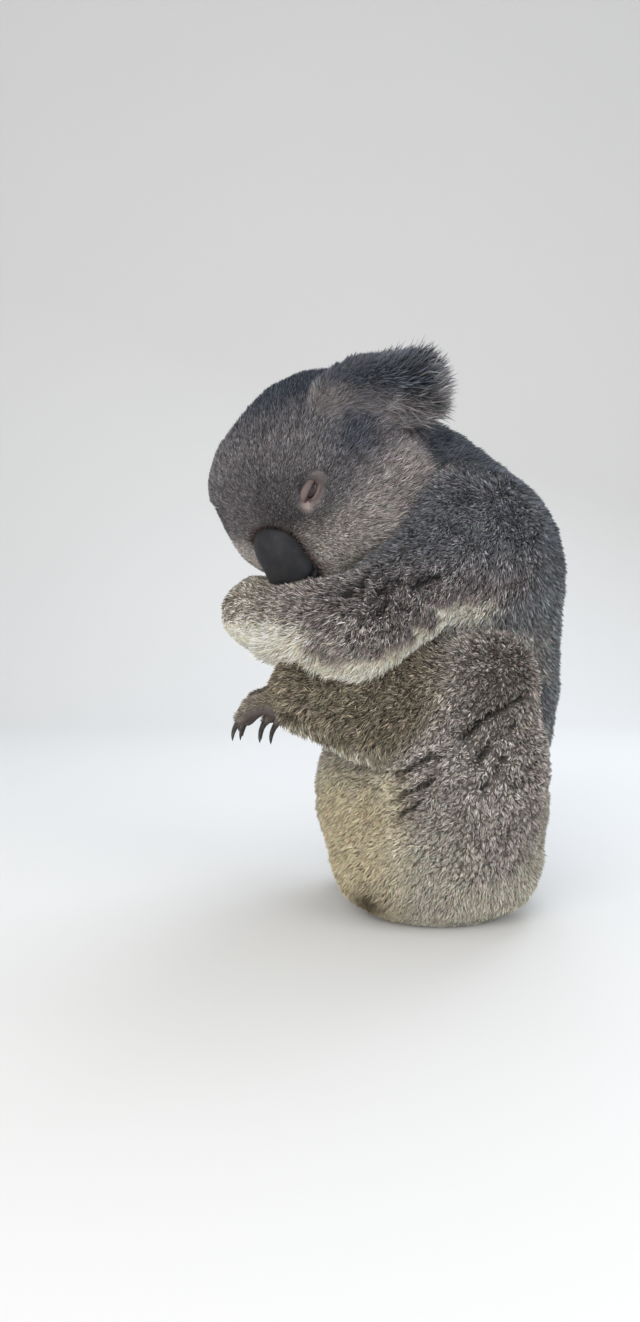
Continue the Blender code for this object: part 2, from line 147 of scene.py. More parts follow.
def carve(base: Array, other: Array, softness: float) -> Array:
    """Smoothly take one field out of another."""
    return -blend([-base, other], softness)


def ramp(low: float, high: float, value: Array) -> Array:
    """Smooth step from 0 at low to 1 at high."""
    share = np.clip((value - low) / (high - low), 0.0, 1.0)
    return share * share * (3.0 - 2.0 * share)


def bump(points: Array, centre: Sequence[float], radii: Sequence[float]) -> Array:
    """Soft spot: 1 at the centre, falling to about 0 past the radii."""
    offset = (points - np.asarray(centre)) / np.asarray(radii)
    return np.exp(-1.2 * (offset**2).sum(axis=-1))


def unit(vectors: Array) -> Array:
    """Vectors scaled to length 1."""
    return vectors / np.maximum(np.linalg.norm(vectors, axis=-1, keepdims=True), 1e-9)


def flattened(vectors: Array, normals: Array) -> Array:
    """Unit vectors laid flat on the surface that the normals stand on."""
    return unit(vectors - normals * (vectors * normals).sum(axis=1, keepdims=True))


def turned(first: Array, second: Array, angle: Array) -> Array:
    """Vectors turned from the first towards the second by an angle."""
    return first * np.cos(angle)[:, None] + second * np.sin(angle)[:, None]


def from_path(points: Array, path: Sequence[Sequence[float]]) -> tuple[Array, Array]:
    """Distance from points to a path of straight stretches, and the way out from it.

    Args:
        points: Places, with the axes last.
        path: Corners of the path.

    Returns:
        Distances, and unit vectors that lead away from the path.
    """
    best, away = np.full(points.shape[:-1], 1e9), np.zeros(points.shape)
    for start, end in zip(path, path[1:]):
        gap = projected(points, start, end)[1]
        length = np.linalg.norm(gap, axis=-1)
        nearer = length < best
        best = np.where(nearer, length, best)
        away = np.where(nearer[..., None], gap, away)
    return best, unit(away)


def lumps(points: Array, size: float, seed: int) -> Array:
    """Smooth random field between -1 and 1, with lumps of about a given size.

    Args:
        points: Places, with x, y, z on the last axis.
        size: Distance between lumps.
        seed: Which random field.

    Returns:
        One value for each point.
    """
    table = np.random.default_rng(seed).uniform(-1.0, 1.0, (32, 32, 32))
    scaled = points / size
    cell = np.floor(scaled).astype(int)
    part = scaled - cell
    part = part * part * (3.0 - 2.0 * part)
    total = np.zeros(points.shape[:-1])
    for corner in np.ndindex(2, 2, 2):
        weight = np.prod(np.where(corner, part, 1.0 - part), axis=-1)
        i, j, k = np.moveaxis((cell + corner) % 32, -1, 0)
        total += weight * table[i, j, k]
    return total


# ------------------------------------------------------------------- skeleton
MIRROR = {"l": -1.0, "r": 1.0}  # sign of y in the world; the head's own frame has its left at plus
SIGNS = (-1.0, 1.0)


@dataclass(frozen=True)
class Skeleton:
    """Joints as (x, outward y, z); the side's sign is applied to y."""

    hip: tuple = (0.036, 0.056, 0.076)
    knee: tuple = (0.057, 0.083, 0.191)
    ankle: tuple = (-0.074, 0.066, 0.184)
    heel: tuple = (-0.068, 0.060, 0.170)
    ball: tuple = (-0.092, 0.034, 0.170)
    shoulder: tuple = (0.050, 0.070, 0.298)
    elbow_l: tuple = (-0.040, 0.097, 0.230)
    elbow_r: tuple = (-0.010, 0.112, 0.218)
    wrist_l: tuple = (-0.117, 0.021, 0.242)
    wrist_r: tuple = (-0.071, 0.055, 0.222)
    knuckle_l: tuple = (-0.130, -0.018, 0.252)
    knuckle_r: tuple = (-0.072, 0.015, 0.233)

    def at(self, joint: str, side: str) -> Array:
        """World place of a joint on the named side.

        Args:
            joint: Name of the joint, without its side.
            side: "l" or "r".

        Returns:
            The joint as an x, y, z array.
        """
        own = getattr(self, joint, None) or getattr(self, f"{joint}_{side}")
        return np.array((own[0], own[1] * MIRROR[side], own[2]))


@dataclass(frozen=True)
class Digit:
    """One finger or toe as (along, across, back) joints in the paw's frame."""

    root: tuple
    middle: tuple
    tip: tuple
    radius: float


FINGERS = (
    Digit((0.018, 0.016, -0.004), (0.026, 0.026, -0.012), (0.034, 0.027, -0.022), 0.0078),
    Digit((0.032, 0.013, -0.002), (0.047, 0.019, -0.010), (0.057, 0.020, -0.022), 0.0080),
    Digit((0.036, 0.002, 0.000), (0.055, 0.004, -0.007), (0.068, 0.004, -0.021), 0.0082),
    Digit((0.034, -0.008, 0.000), (0.052, -0.011, -0.007), (0.064, -0.012, -0.021), 0.0080),
    Digit((0.030, -0.017, -0.002), (0.045, -0.023, -0.010), (0.055, -0.024, -0.022), 0.0074),
)
TOES = (
    Digit((0.020, 0.016, -0.006), (0.028, 0.026, -0.012), (0.036, 0.029, -0.018), 0.0092),
    Digit((0.040, 0.011, -0.002), (0.054, 0.014, -0.007), (0.063, 0.014, -0.018), 0.0062),
    Digit((0.041, 0.003, -0.001), (0.057, 0.004, -0.006), (0.066, 0.004, -0.018), 0.0062),
    Digit((0.042, -0.008, 0.000), (0.060, -0.009, -0.005), (0.073, -0.009, -0.018), 0.0084),
    Digit((0.038, -0.018, -0.002), (0.054, -0.023, -0.008), (0.064, -0.024, -0.019), 0.0080),
)
CLAWED_TOES = range(1, 5)
HAND_CURL = {"l": 0.70, "r": 0.30}
HAND_BACK = {"l": (-0.75, 0.0, 0.60), "r": (-0.60, 0.0, 0.75)}
FOOT_BACK = (0.25, 0.0, 0.95)


@dataclass(frozen=True)
class Paw:
    """A hand or foot: its origin, its axes (along, across, back) and its digits."""

    origin: Array
    axes: Array
    digits: tuple[Digit, ...]
    flip: Array

    @staticmethod
    def between(start: Array, end: Array, back: tuple, digits: tuple, side: str, curl: float) -> Paw:
        """A paw from its wrist or heel towards its knuckles.

        Args:
            start: Wrist or heel.
            end: Knuckles or ball.
            back: Rough direction of the back of the paw.
            digits: Its fingers or toes.
            side: "l" or "r".
            curl: How far the digits bend down, 1 for as tabled.

        Returns:
            The paw.
        """
        along = Vector(end - start).normalized()
        up = Vector(back)
        up = (up - along * up.dot(along)).normalized()
        axes = np.array((along, up.cross(along), up))
        return Paw(start, axes, digits, np.array((1.0, MIRROR[side], curl)))

    def local(self, points: Array) -> Array:
        """Points in the paw's own frame."""
        return (points - self.origin) @ self.axes.T

    def digit_fields(self, q: Array) -> list[Array]:
        """Distances from local points to each bone of each digit."""
        fields = []
        for d in self.digits:
            root, middle, tip = (np.array(j) * self.flip for j in (d.root, d.middle, d.tip))
            fields.append(limb(q, root, middle, d.radius * 1.15, d.radius))
            fields.append(limb(q, middle, tip, d.radius, d.radius * 0.86))
        return fields


@dataclass(frozen=True)
class Head:
    """Place, turn and masses of the head, in its own (forward, left, up) frame.

    In its methods p are world places, q places in the head's frame and e places in
    an ear's, side is "l" or "r", and sign is 1 on the left and -1 on the right.
    Masses come back as distances, negative inside.
    """

    centre: tuple = (-0.0711, -0.0279, 0.3527)
    forward: tuple = (-0.449, -0.574, -0.684)
    leftward: tuple = (0.715, -0.690, 0.110)
    eye: tuple = (0.0530, 0.0430, 0.0170)
    eye_radius: float = 0.0088
    ear_radius: float = 0.040

    def axes(self) -> Array:
        """Unit forward, left and up, made square to each other."""
        forward = Vector(self.forward).normalized()
        up = forward.cross(Vector(self.leftward)).normalized()
        return np.array((forward, up.cross(forward).normalized(), up))

    def local(self, points: Array) -> Array:
        """World points in the head's frame."""
        return (points - np.array(self.centre)) @ self.axes().T

    def world(self, local: Sequence[float]) -> Array:
        """World place of a point in the head's frame."""
        return np.array(self.centre) + np.asarray(local) @ self.axes()

    def skull(self, p: Array) -> Array:
        """Broad skull, round brow, full cheeks, short deep muzzle and small chin."""
        q = self.local(p)
        parts = [
            ellipsoid(q, (-0.012, 0.0, 0.008), (0.073, 0.075, 0.064)),
            ellipsoid(q, (0.028, 0.0, 0.012), (0.046, 0.054, 0.040)),
            ellipsoid(q, (0.046, 0.0, -0.024), (0.036, 0.040, 0.038)),
            ellipsoid(q, (0.044, 0.0, -0.046), (0.034, 0.032, 0.022)),
        ]
        for side in SIGNS:
            parts.append(ellipsoid(q, (0.010, side * 0.042, -0.020), (0.056, 0.045, 0.049)))
            parts.append(ellipsoid(q, (0.000, side * 0.051, -0.022), (0.038, 0.034, 0.040)))
            parts.append(ellipsoid(q, (0.030, side * 0.024, 0.024), (0.040, 0.040, 0.036)))
        face = blend(parts, 0.022)
        for side in SIGNS:
            socket = self.by_eye(side, 0.0105, 0.0085, 0.003)
            face = carve(face, ellipsoid(q, socket, (0.009, 0.012, 0.008)), 0.008)
        return face

    def by_eye(self, sign: float, forward: float = 0.0, outward: float = 0.0, up: float = 0.0) -> tuple:
        """A place in the head's frame, off the middle of one eyeball."""
        return self.eye[0] + forward, sign * (self.eye[1] + outward), self.eye[2] + up

    def from_duct(self, q: Array, sign: float) -> Array:
        """Distance from head-frame points to the tear duct of one eye."""
        return from_path(q, ((0.066, sign * 0.0440, 0.013), (0.073, sign * 0.0432, 0.0035)))[0]

    def nose(self, p: Array) -> Array:
        """The tall egg of bare leather, wider at its top than between the nostrils."""
        q = self.local(p)
        top = ellipsoid(q, (0.0700, 0.0, -0.0080), (0.0160, 0.0190, 0.0160))
        middle = ellipsoid(q, (0.0755, 0.0, -0.0200), (0.0170, 0.0200, 0.0200))
        return blend([top, middle, ellipsoid(q, (0.0780, 0.0, -0.0360), (0.0150, 0.0225, 0.0140))], 0.012)

    def ear_frame(self, side: str) -> tuple[Array, Array]:
        """Centre and axes (opening, out, up) of an ear in the head's frame."""
        if side == "l":
            centre, facing = Vector((-0.012, 0.070, 0.039)), Vector((0.63, 0.55, -0.065))
        else:
            centre, facing = Vector((-0.051, -0.069, 0.009)), Vector((0.10, -0.95, -0.05))
        facing.normalize()
        tall = Vector((-0.25, 0.0, 1.0))
        up = (tall - facing * facing.dot(tall)).normalized()
        return np.array(centre), np.array((facing, up.cross(facing), up))

    def ear_local(self, p: Array, side: str) -> Array:
        """World points in an ear's own frame."""
        centre, axes = self.ear_frame(side)
        return (self.local(p) - centre) @ axes.T

    def ear_rim(self, e: Array) -> Array:
        """How far out in the ear's round a point of its frame lies: 1 at the rim."""
        return np.hypot(e[:, 1] / 1.20, e[:, 2] / 0.90) / self.ear_radius

    def ear_sweep(self, e: Array, side: str) -> tuple[Array, Array]:
        """How far back along the ear's fan, and how far up it, a point of its frame lies."""
        along = e[:, 1] * (1.0 if side == "l" else -1.0)
        return 0.70 * along - 0.43 * e[:, 2], 0.45 * along + 0.84 * e[:, 2]

    def lid_frame(self, sign: float) -> Array:
        """Axes (slit, across, outward) of the lids of one eye, in the head's frame."""
        outward = unit(np.array((0.750, sign * 0.645, 0.148)))
        slit = np.array((-0.575, sign * 0.618, 0.536))
        slit = unit(slit - outward * (slit @ outward))
        return np.array((slit, np.cross(outward, slit), outward))

    def lid_oval(self, q: Array, sign: float) -> Array:
        """How far out in the bare oval of one eye a head-frame point lies: 1 at its edge."""
        a, b, c = ((q - np.array(self.by_eye(sign))) @ self.lid_frame(sign).T).T
        return np.where(c > 0.0, np.hypot(a / 0.0142, b / 0.0074), 9.0)

    def raised(self, p: Array) -> Array:
        """How much nearer the skin lies to the coat's outline, where the hair is short.

        It stays under the coat's own depth, so the skin never leaves the flesh.
        """
        q = self.local(p)
        lift = 0.0012 * ramp(0.030, 0.060, q[..., 0])
        for s in SIGNS:
            lift += 0.0010 * bump(q, (0.054, s * 0.034, -0.026), (0.020, 0.018, 0.022))
            lift += 0.0020 * bump(q, self.by_eye(s, 0.008, 0.008), (0.018,) * 3)
        return np.minimum(lift, 0.0024)

    def ear(self, p: Array, side: str) -> Array:
        """A round dish with a hollow on the side it opens to."""
        centre, axes = self.ear_frame(side)
        e, radius = self.ear_local(p, side), self.ear_radius
        dish = ellipsoid(e, (0.0, 0.0, 0.0), (0.021, radius * 1.20, radius * 0.90))
        foot = (centre * (-0.45, -0.40, -0.45)) @ axes.T
        root = limb(e, np.array((-0.004, 0.0, 0.0)), foot, 0.022, 0.024)
        hollow = ellipsoid(e, (0.022, 0.005, 0.002), (0.017, radius * 0.70, radius * 0.56))
        return carve(blend([dish, root], 0.014), hollow, 0.006)


# ---------------------------------------------------------------- the anatomy
@dataclass(frozen=True)
class Limb:
    """A tapered stretch between two joints with one muscle's bulk on it.

    Weights place the bulk between the joints, reach is half the box that the limb
    lies in, and depth is the coat's.
    """

    joints: tuple[str, str]
    radii: tuple[float, float]
    weights: tuple[float, float]
    shift: tuple
    bulk: tuple
    softness: float
    reach: float
    depth: float = 0.0050


LIMBS = {
    "thigh": Limb(
        ("hip", "knee"), (0.058, 0.0385), (0.5, 0.5), (0.0, 0.0, -0.014), (0.064, 0.046, 0.082), 0.020, 0.130
    ),
    "shank": Limb(
        ("knee", "ankle"), (0.0345, 0.033), (0.42, 0.58), (0.0, 0.0, -0.012), (0.060, 0.036, 0.046), 0.018,
        0.125, 0.0054,
    ),
    "upper_arm": Limb(
        ("shoulder", "elbow"), (0.043, 0.0365), (1.0, 0.0), (-0.006, 0.0, -0.008), (0.054, 0.042, 0.056),
        0.018, 0.125,
    ),
    "forearm": Limb(
        ("elbow", "wrist"), (0.032, 0.033), (0.58, 0.42), (0.0, 0.0, 0.0), (0.035, 0.035, 0.034), 0.010, 0.110
    ),
}


@dataclass(frozen=True)
class Mass:
    """One mass of flesh: the coat's own outline, its reach and the coat's depth."""

    coat: Field
    centre: Array
    reach: tuple[float, float, float]
    depth: float


@dataclass
class Anatomy:
    """All masses of the koala and how they flow into one skin.

    A mass's method takes p, places with x, y, z last, and side, "l" or "r", and
    returns distances to the coat's outline, negative inside.
    """

    bones: Skeleton = field(default_factory=Skeleton)
    head: Head = field(default_factory=Head)
    masses: dict[str, Mass] = field(default_factory=dict)

    def __post_init__(self) -> None:
        """List every mass with the box that it lies in."""
        head, at = self.head, self.bones.at
        self.add("torso", self.torso, (0.040, 0.0, 0.190), (0.120, 0.115, 0.215), 0.0065)
        self.add("neck", self.neck, (0.005, -0.010, 0.338), (0.080, 0.095, 0.080), 0.0065)
        self.add("head", lambda p: head.skull(p) - head.raised(p), head.centre, (0.115,) * 3, 0.0031)
        for s in MIRROR:
            ear_at = head.world(head.ear_frame(s)[0])
            self.add(f"ear_{s}", partial(head.ear, side=s), ear_at, (0.075,) * 3, 0.0070)
            for kind, own in LIMBS.items():
                middle = (at(own.joints[0], s) + at(own.joints[1], s)) / 2
                self.add(f"{kind}_{s}", partial(self.limb, kind, s), middle, (own.reach,) * 3, own.depth)
            self.add(f"hand_{s}", partial(self.hand, side=s), at("wrist", s), (0.1,) * 3, 0.0018)
            self.add(f"foot_{s}", partial(self.foot, side=s), at("heel", s), (0.1,) * 3, 0.0018)

    def add(self, name: str, coat: Field, centre: Sequence[float], reach: tuple, depth: float) -> None:
        """Enter one mass under its name."""
        self.masses[name] = Mass(coat, np.array(centre), reach, depth)

    def torso(self, p: Array) -> Array:
        """Rump, belly, back and chest of the sitting animal, in one mass."""
        parts = [
            ellipsoid(p, (0.040, 0.0, 0.086), (0.086, 0.092, 0.090)),
            ellipsoid(p, (-0.006, 0.0, 0.092), (0.067, 0.080, 0.082)),
            ellipsoid(p, (0.046, 0.0, 0.185), (0.086, 0.088, 0.105)),
            ellipsoid(p, (0.048, 0.0, 0.272), (0.088, 0.086, 0.096)),
        ]
        for side in MIRROR.values():
            parts.append(ellipsoid(p, (0.026, side * 0.046, 0.040), (0.082, 0.058, 0.052)))
            parts.append(ellipsoid(p, (0.052, side * 0.058, 0.290), (0.056, 0.040, 0.062)))
        return blend(parts, 0.030)

    def neck(self, p: Array) -> Array:
        """The short thick neck, from between the shoulders to the skull."""
        first = ellipsoid(p, (0.018, 0.003, 0.334), (0.058, 0.066, 0.064))
        return blend([first, ellipsoid(p, (-0.006, -0.004, 0.341), (0.052, 0.062, 0.061))], 0.02)

    def limb(self, kind: str, side: str, p: Array) -> Array:
        """Thigh, shank, upper arm or forearm.

        Args:
            kind: Its name in LIMBS.
            side: "l" or "r".
            p: Places.

        Returns:
            Distances, negative inside.
        """
        own = LIMBS[kind]
        start, end = (self.bones.at(joint, side) for joint in own.joints)
        bulk = ellipsoid(p, start * own.weights[0] + end * own.weights[1] + own.shift, own.bulk)
        return blend([limb(p, start, end, *own.radii), bulk], own.softness)

    def paw(self, kind: str, side: str) -> Paw:
        """The frame and the digits of a hand or a foot."""
        at = self.bones.at
        if kind == "hand":
            ends = at("wrist", side), at("knuckle", side)
            return Paw.between(*ends, HAND_BACK[side], FINGERS, side, HAND_CURL[side])
        return Paw.between(at("heel", side), at("ball", side), FOOT_BACK, TOES, side, 1.0)

    def hand(self, p: Array, side: str) -> Array:
        """Palm with its five digits."""
        paw = self.paw("hand", side)
        q = paw.local(p)
        palm = ellipsoid(q, (0.020, 0.0, -0.002), (0.032, 0.025, 0.0150))
        return blend([palm, *paw.digit_fields(q)], 0.005)

    def foot(self, p: Array, side: str) -> Array:
        """Broad foot with its heel, sole and five toes."""
        paw = self.paw("foot", side)
        q = paw.local(p)
        sole = ellipsoid(q, (0.022, 0.0, -0.001), (0.040, 0.024, 0.0165))
        heel = ellipsoid(q, (-0.004, 0.0, 0.002), (0.022, 0.020, 0.018))
        return blend([sole, heel, *paw.digit_fields(q)], 0.005)

    def joined(self, p: Array, own: dict[str, Array]) -> Array:
        """Flow the sunk masses together into the one skin.

        Args:
            p: The places where the fields were taken.
            own: Each mass's skin field at those places, by name.

        Returns:
            The skin's field.
        """
        body = blend([own["torso"], own["neck"]], 0.030)
        head = blend([own["head"], own["ear_l"], own["ear_r"]], 0.007)
        whole = blend([body, head], 0.009)
        for side in MIRROR:
            arm = blend([own[f"upper_arm_{side}"], own[f"forearm_{side}"]], 0.018)
            arm = blend([arm, own[f"hand_{side}"]], 0.008)
            near = bump(p, self.bones.at("shoulder", side), (0.06, 0.06, 0.06))
            whole = blend([whole, arm], 0.004 + 0.030 * near)
            leg = blend([own[f"thigh_{side}"], own[f"shank_{side}"]], 0.022)
            leg = blend([leg, own[f"foot_{side}"]], 0.008)
            near = bump(p, self.bones.at("hip", side), (0.08, 0.08, 0.06))
            whole = blend([whole, leg], 0.004 + 0.022 * near)
        return np.maximum(whole, FLOOR_LIFT - p[..., 2])

    def sunk(self, p: Array) -> dict[str, Array]:
        """Each mass's own skin field, by name, at scattered points."""
        return {name: mass.coat(p) + mass.depth for name, mass in self.masses.items()}


FLOOR_LIFT = 0.0015      # the skin's flat underside stands this far over the floor
SKIN_STEP = 0.0026       # size of the skin's quads
FAR = 0.06               # field value where a mass is too far away to matter


# ------------------------------------------------------------------- markings
def kind_of(name: str) -> str:
    """A mass's name without its side."""
    return name[:-2] if name[-2:] in ("_l", "_r") else name


@dataclass(frozen=True)
class Tone:
    """A linear colour."""

    r: float
    g: float
    b: float

    def array(self) -> Array:
        """The colour as an array."""
        return np.array((self.r, self.g, self.b))


@dataclass(frozen=True)
class Palette:
    """The colours of the coat and of the bare skin."""

    face: Tone = Tone(0.166, 0.156, 0.162)
    # painted sky light: the crown tone is dark grey with a slight blue tint that stands for sky light
    crown: Tone = Tone(0.058, 0.065, 0.082)
    low_face: Tone = Tone(0.500, 0.452, 0.424)
    cheek: Tone = Tone(0.300, 0.270, 0.262)
    muzzle: Tone = Tone(0.220, 0.195, 0.180)
    chin: Tone = Tone(0.560, 0.520, 0.460)
    moustache: Tone = Tone(0.600, 0.555, 0.470)
    # painted sky light: the nape's grey carries a slight blue tint that stands for sky light
    nape: Tone = Tone(0.118, 0.127, 0.146)
    back: Tone = Tone(0.190, 0.195, 0.205)
    shoulder: Tone = Tone(0.182, 0.186, 0.200)
    arm: Tone = Tone(0.200, 0.176, 0.172)
    hand: Tone = Tone(0.300, 0.268, 0.224)
    cream: Tone = Tone(0.840, 0.785, 0.640)
    belly: Tone = Tone(0.620, 0.580, 0.500)
    flank: Tone = Tone(0.520, 0.490, 0.430)
    thigh: Tone = Tone(0.378, 0.342, 0.314)
    knee: Tone = Tone(0.112, 0.098, 0.085)
    shank: Tone = Tone(0.210, 0.180, 0.134)
    rump: Tone = Tone(0.480, 0.450, 0.380)
    rump_front: Tone = Tone(0.600, 0.520, 0.365)
    # dark brown for a low patch on the front of the rump
    dark_low_patch: Tone = Tone(0.034, 0.021, 0.009)
    # painted sky light: both ear tones are dark grey with a slight blue tint that stands for sky light
    ear_front: Tone = Tone(0.098, 0.106, 0.126)
    ear_back: Tone = Tone(0.086, 0.094, 0.112)
    ear_stream: Tone = Tone(0.275, 0.255, 0.258)
    ear_tip: Tone = Tone(0.560, 0.565, 0.580)
    lid: Tone = Tone(0.185, 0.145, 0.138)
    # painted shade: this dark tone is laid as shade in the fur round the nose's edge and along the lids' slit
    crease_shade: Tone = Tone(0.055, 0.032, 0.030)
    lid_rim: Tone = Tone(0.122, 0.102, 0.100)
    duct: Tone = Tone(0.300, 0.235, 0.220)
    pad: Tone = Tone(0.120, 0.095, 0.090)


@dataclass
class Markings:
    """Where each colour lies; the skin and the coat both read it.

    A method named after a mass takes p, points of the skin, n, their outward
    normals, and side, the last letter of the mass's name, and returns linear
    colours, one row for each point.
    """

    anatomy: Anatomy
    palette: Palette = field(default_factory=Palette)

    def colours(self, p: Array, n: Array, share: dict[str, Array]) -> Array:
        """Colour of the coat at points of the skin.

        Args:
            p: Points of the skin.
            n: Outward unit normals there.
            share: How much each mass owns each point, adding to 1.

        Returns:
            Linear colours, one row for each point.
        """
        total = np.zeros(p.shape)
        for name, own in share.items():
            total += own[:, None] * getattr(self, kind_of(name))(p, n, name[-1])
        # a dark brown patch low on the front of the rump, on the left
        dark_low_patch = 0.95 * bump(p, (-0.028, -0.066, 0.020), (0.017, 0.036, 0.017))
        return self.mix(total, (self.palette.dark_low_patch, dark_low_patch))

    def mix(self, base: Array | Tone, *layers: tuple[Tone, Array]) -> Array:
        """Base colour turned towards each layer's tone in turn, by its amount at each point."""
        colour = base.array() if isinstance(base, Tone) else base
        for tone, amount in layers:
            colour = colour + amount[:, None] * (tone.array() - colour)
        return colour

    def pads(self, kind: str, side: str, n: Array) -> tuple[Tone, Array]:
        """Layer of the bare dark palm or sole."""
        return self.palette.pad, ramp(-0.25, -0.6, n @ self.anatomy.paw(kind, side).axes[2])

    def torso(self, p: Array, n: Array, side: str) -> Array:
        """Grey back, cream front and pale mottled rump."""
        t, (x, y, z) = self.palette, p.T
        waist = 0.6 * ramp(0.185, 0.200, z) * ramp(0.240, 0.222, z) * ramp(0.5, 0.9, np.abs(n[:, 1]))
        warm = ramp(0.14, 0.09, z) * ramp(0.015, -0.03, x) * (0.25 + 0.75 * ramp(0.01, -0.04, y))
        return self.mix(
            t.back,
            (t.nape, ramp(0.24, 0.34, z)),
            (t.belly, ramp(0.1, -0.5, n[:, 0]) * ramp(0.06, 0.02, x)),
            (t.flank, waist),
            (t.rump, ramp(0.165, 0.105, z)),
            (t.rump_front, warm),
        )

    def neck(self, p: Array, n: Array, side: str) -> Array:
        """Dark nape, white throat."""
        return self.mix(self.palette.nape, (self.palette.belly, ramp(-0.1, -0.7, n[:, 2])))

    def head(self, p: Array, n: Array, side: str) -> Array:
        """Brownish-grey face, dark crown with a blue tint of painted sky light on its left, pale cheeks and
        chin, painted shadow under the left ear and painted shade round the nose.
        """
        t, head = self.palette, self.anatomy.head
        q = head.local(p)
        x, y, z = q.T
        crown = ramp(0.058, -0.010, x + 0.3 * np.abs(y)) * ramp(-0.006, 0.040, z)
        # painted shadow: the crown's dark tone laid on the fur under the left ear, where the ear shades it
        ear_shadow = bump(q, (0.012, 0.068, 0.026), (0.026, 0.022, 0.018))
        low = ramp(0.008, -0.016, z) * ramp(0.012, 0.035, np.abs(y)) * ramp(-0.030, 0.010, x)
        layers = [
            (t.crown, crown),
            # on the right the crown turns to the nape's grey, so the crown tone's blue tint of painted sky
            # light stays on the left side
            (t.nape, 0.8 * crown * ramp(0.000, 0.050, p[:, 1])),
            (t.crown, np.clip(1.1 * ear_shadow, 0.0, 0.85)),
            (t.low_face, 0.8 * low),
        ]
        for s in SIGNS:
            ruff = bump(q, (0.014, s * 0.080, -0.026), (0.036, 0.04, 0.027))
            layers.append((t.cheek, np.clip(1.35 * ruff, 0.0, 1.0)))
        around = bump(q, (0.075, 0.0, -0.020), (0.020, 0.030, 0.030))
        layers.append((t.muzzle, np.clip(0.9 * around, 0.0, 1.0)))
        for s in SIGNS:
            patchy = bump(q, (0.058, s * 0.034, -0.030), (0.018, 0.014, 0.020))
            patchy = patchy * (0.55 + 0.45 * lumps(p, 0.008, 26))
            layers.append((t.moustache, np.clip(patchy, 0.0, 0.75)))
        layers.append((t.chin, ramp(-0.040, -0.056, z)))
        for s in SIGNS:
            layers.append((t.lid_rim, ramp(1.30, 0.95, head.lid_oval(q, s))))
            layers.append((t.duct, 0.9 * np.exp(-((head.from_duct(q, s) / 0.0026) ** 2))))
        # painted shade: a dark line in the fur round the nose's edge
        layers.append((t.crease_shade, 0.8 * ramp(0.0032, 0.0010, head.nose(p))))
        return self.mix(t.face, *layers)

    def ear(self, p: Array, n: Array, side: str) -> Array:
        """Dark back and front edge, pale brown streams from the hollow, white tips."""
        t, head = self.palette, self.anatomy.head
        e = head.ear_local(p, side)
        across, tall = head.ear_sweep(e, side)
        streams = ramp(0.016, 0.006, tall) * ramp(-0.028, -0.018, tall + 0.44 * across)
        streams = streams * ramp(-0.040, -0.030, across)
        opening = ramp(-0.006, 0.002, e[:, 0])
        tips = np.maximum(0.80 * ramp(0.010, 0.032, across), 0.30 * ramp(0.0, 0.02, tall))
        return self.mix(
            t.ear_back,
            (t.ear_front, opening * (1.0 if side == "l" else 0.2)),
            (t.ear_stream, opening * np.maximum(streams, ramp(0.028, 0.042, across))),
            (t.ear_tip, ramp(0.70, 1.0, head.ear_rim(e)) * tips),
        )

    def upper_arm(self, p: Array, n: Array, side: str) -> Array:
        """Dark speckled outer side, cream underside."""
        t, z = self.palette, p[:, 2]
        under = ramp(0.40, 0.68, -n[:, 2]) * ramp(0.262, 0.240, z)
        return self.mix(t.arm, (t.shoulder, ramp(0.25, 0.30, z)), (t.cream, under))

    def forearm(self, p: Array, n: Array, side: str) -> Array:
        """Grey by the elbow, paler to the wrist, cream below."""
        t, elbow = self.palette, self.anatomy.bones.at("elbow", side)
        bone = self.anatomy.bones.at("wrist", side) - elbow
        along = (p - elbow) @ bone / (bone @ bone)
        start = -0.26 + 0.22 * np.clip(along, 0.0, 1.0)
        under = np.clip((-n[:, 2] - start) / 0.42, 0.0, 1.0)
        return self.mix(t.arm, (t.hand, ramp(0.05, 1.10, along)), (t.cream, under))

    def hand(self, p: Array, n: Array, side: str) -> Array:
        """Pale back of the hand, bare dark palm."""
        return self.mix(self.palette.hand, self.pads("hand", side, n))

    def foot(self, p: Array, n: Array, side: str) -> Array:
        """Grey back of the foot, bare dark sole."""
        toes = ramp(0.03, 0.06, self.anatomy.paw("foot", side).local(p)[:, 0])
        return self.mix(self.palette.shank, (self.palette.hand, toes), self.pads("foot", side, n))

    def thigh(self, p: Array, n: Array, side: str) -> Array:
        """Mottled grey, darker at the knee, paler towards the rump."""
        t, (x, _, z) = self.palette, p.T
        return self.mix(
            t.thigh,
            (t.knee, bump(p, self.anatomy.bones.at("knee", side), (0.038, 0.08, 0.036))),
            (t.rump, ramp(0.115, 0.045, z) * ramp(0.075, 0.02, x)),
            (t.rump_front, ramp(0.012, -0.02, x) * ramp(0.14, 0.11, z)),
        )

    def shank(self, p: Array, n: Array, side: str) -> Array:
        """Brownish grey above, cream fringe below and inside."""
        t, under = self.palette, 0.45 * ramp(0.55, 0.95, -n[:, 2])
        return self.mix(t.shank, (t.thigh, ramp(0.0, 0.05, p[:, 0])), (t.cream, under))


# ------------------------------------------------------------------ the skin
@dataclass
class SkinNet:
    """The skin as arrays: vertices, quads, normals and each mass's share of them."""

    vertices: Array
    quads: Array
    normals: Array
    share: dict[str, Array]


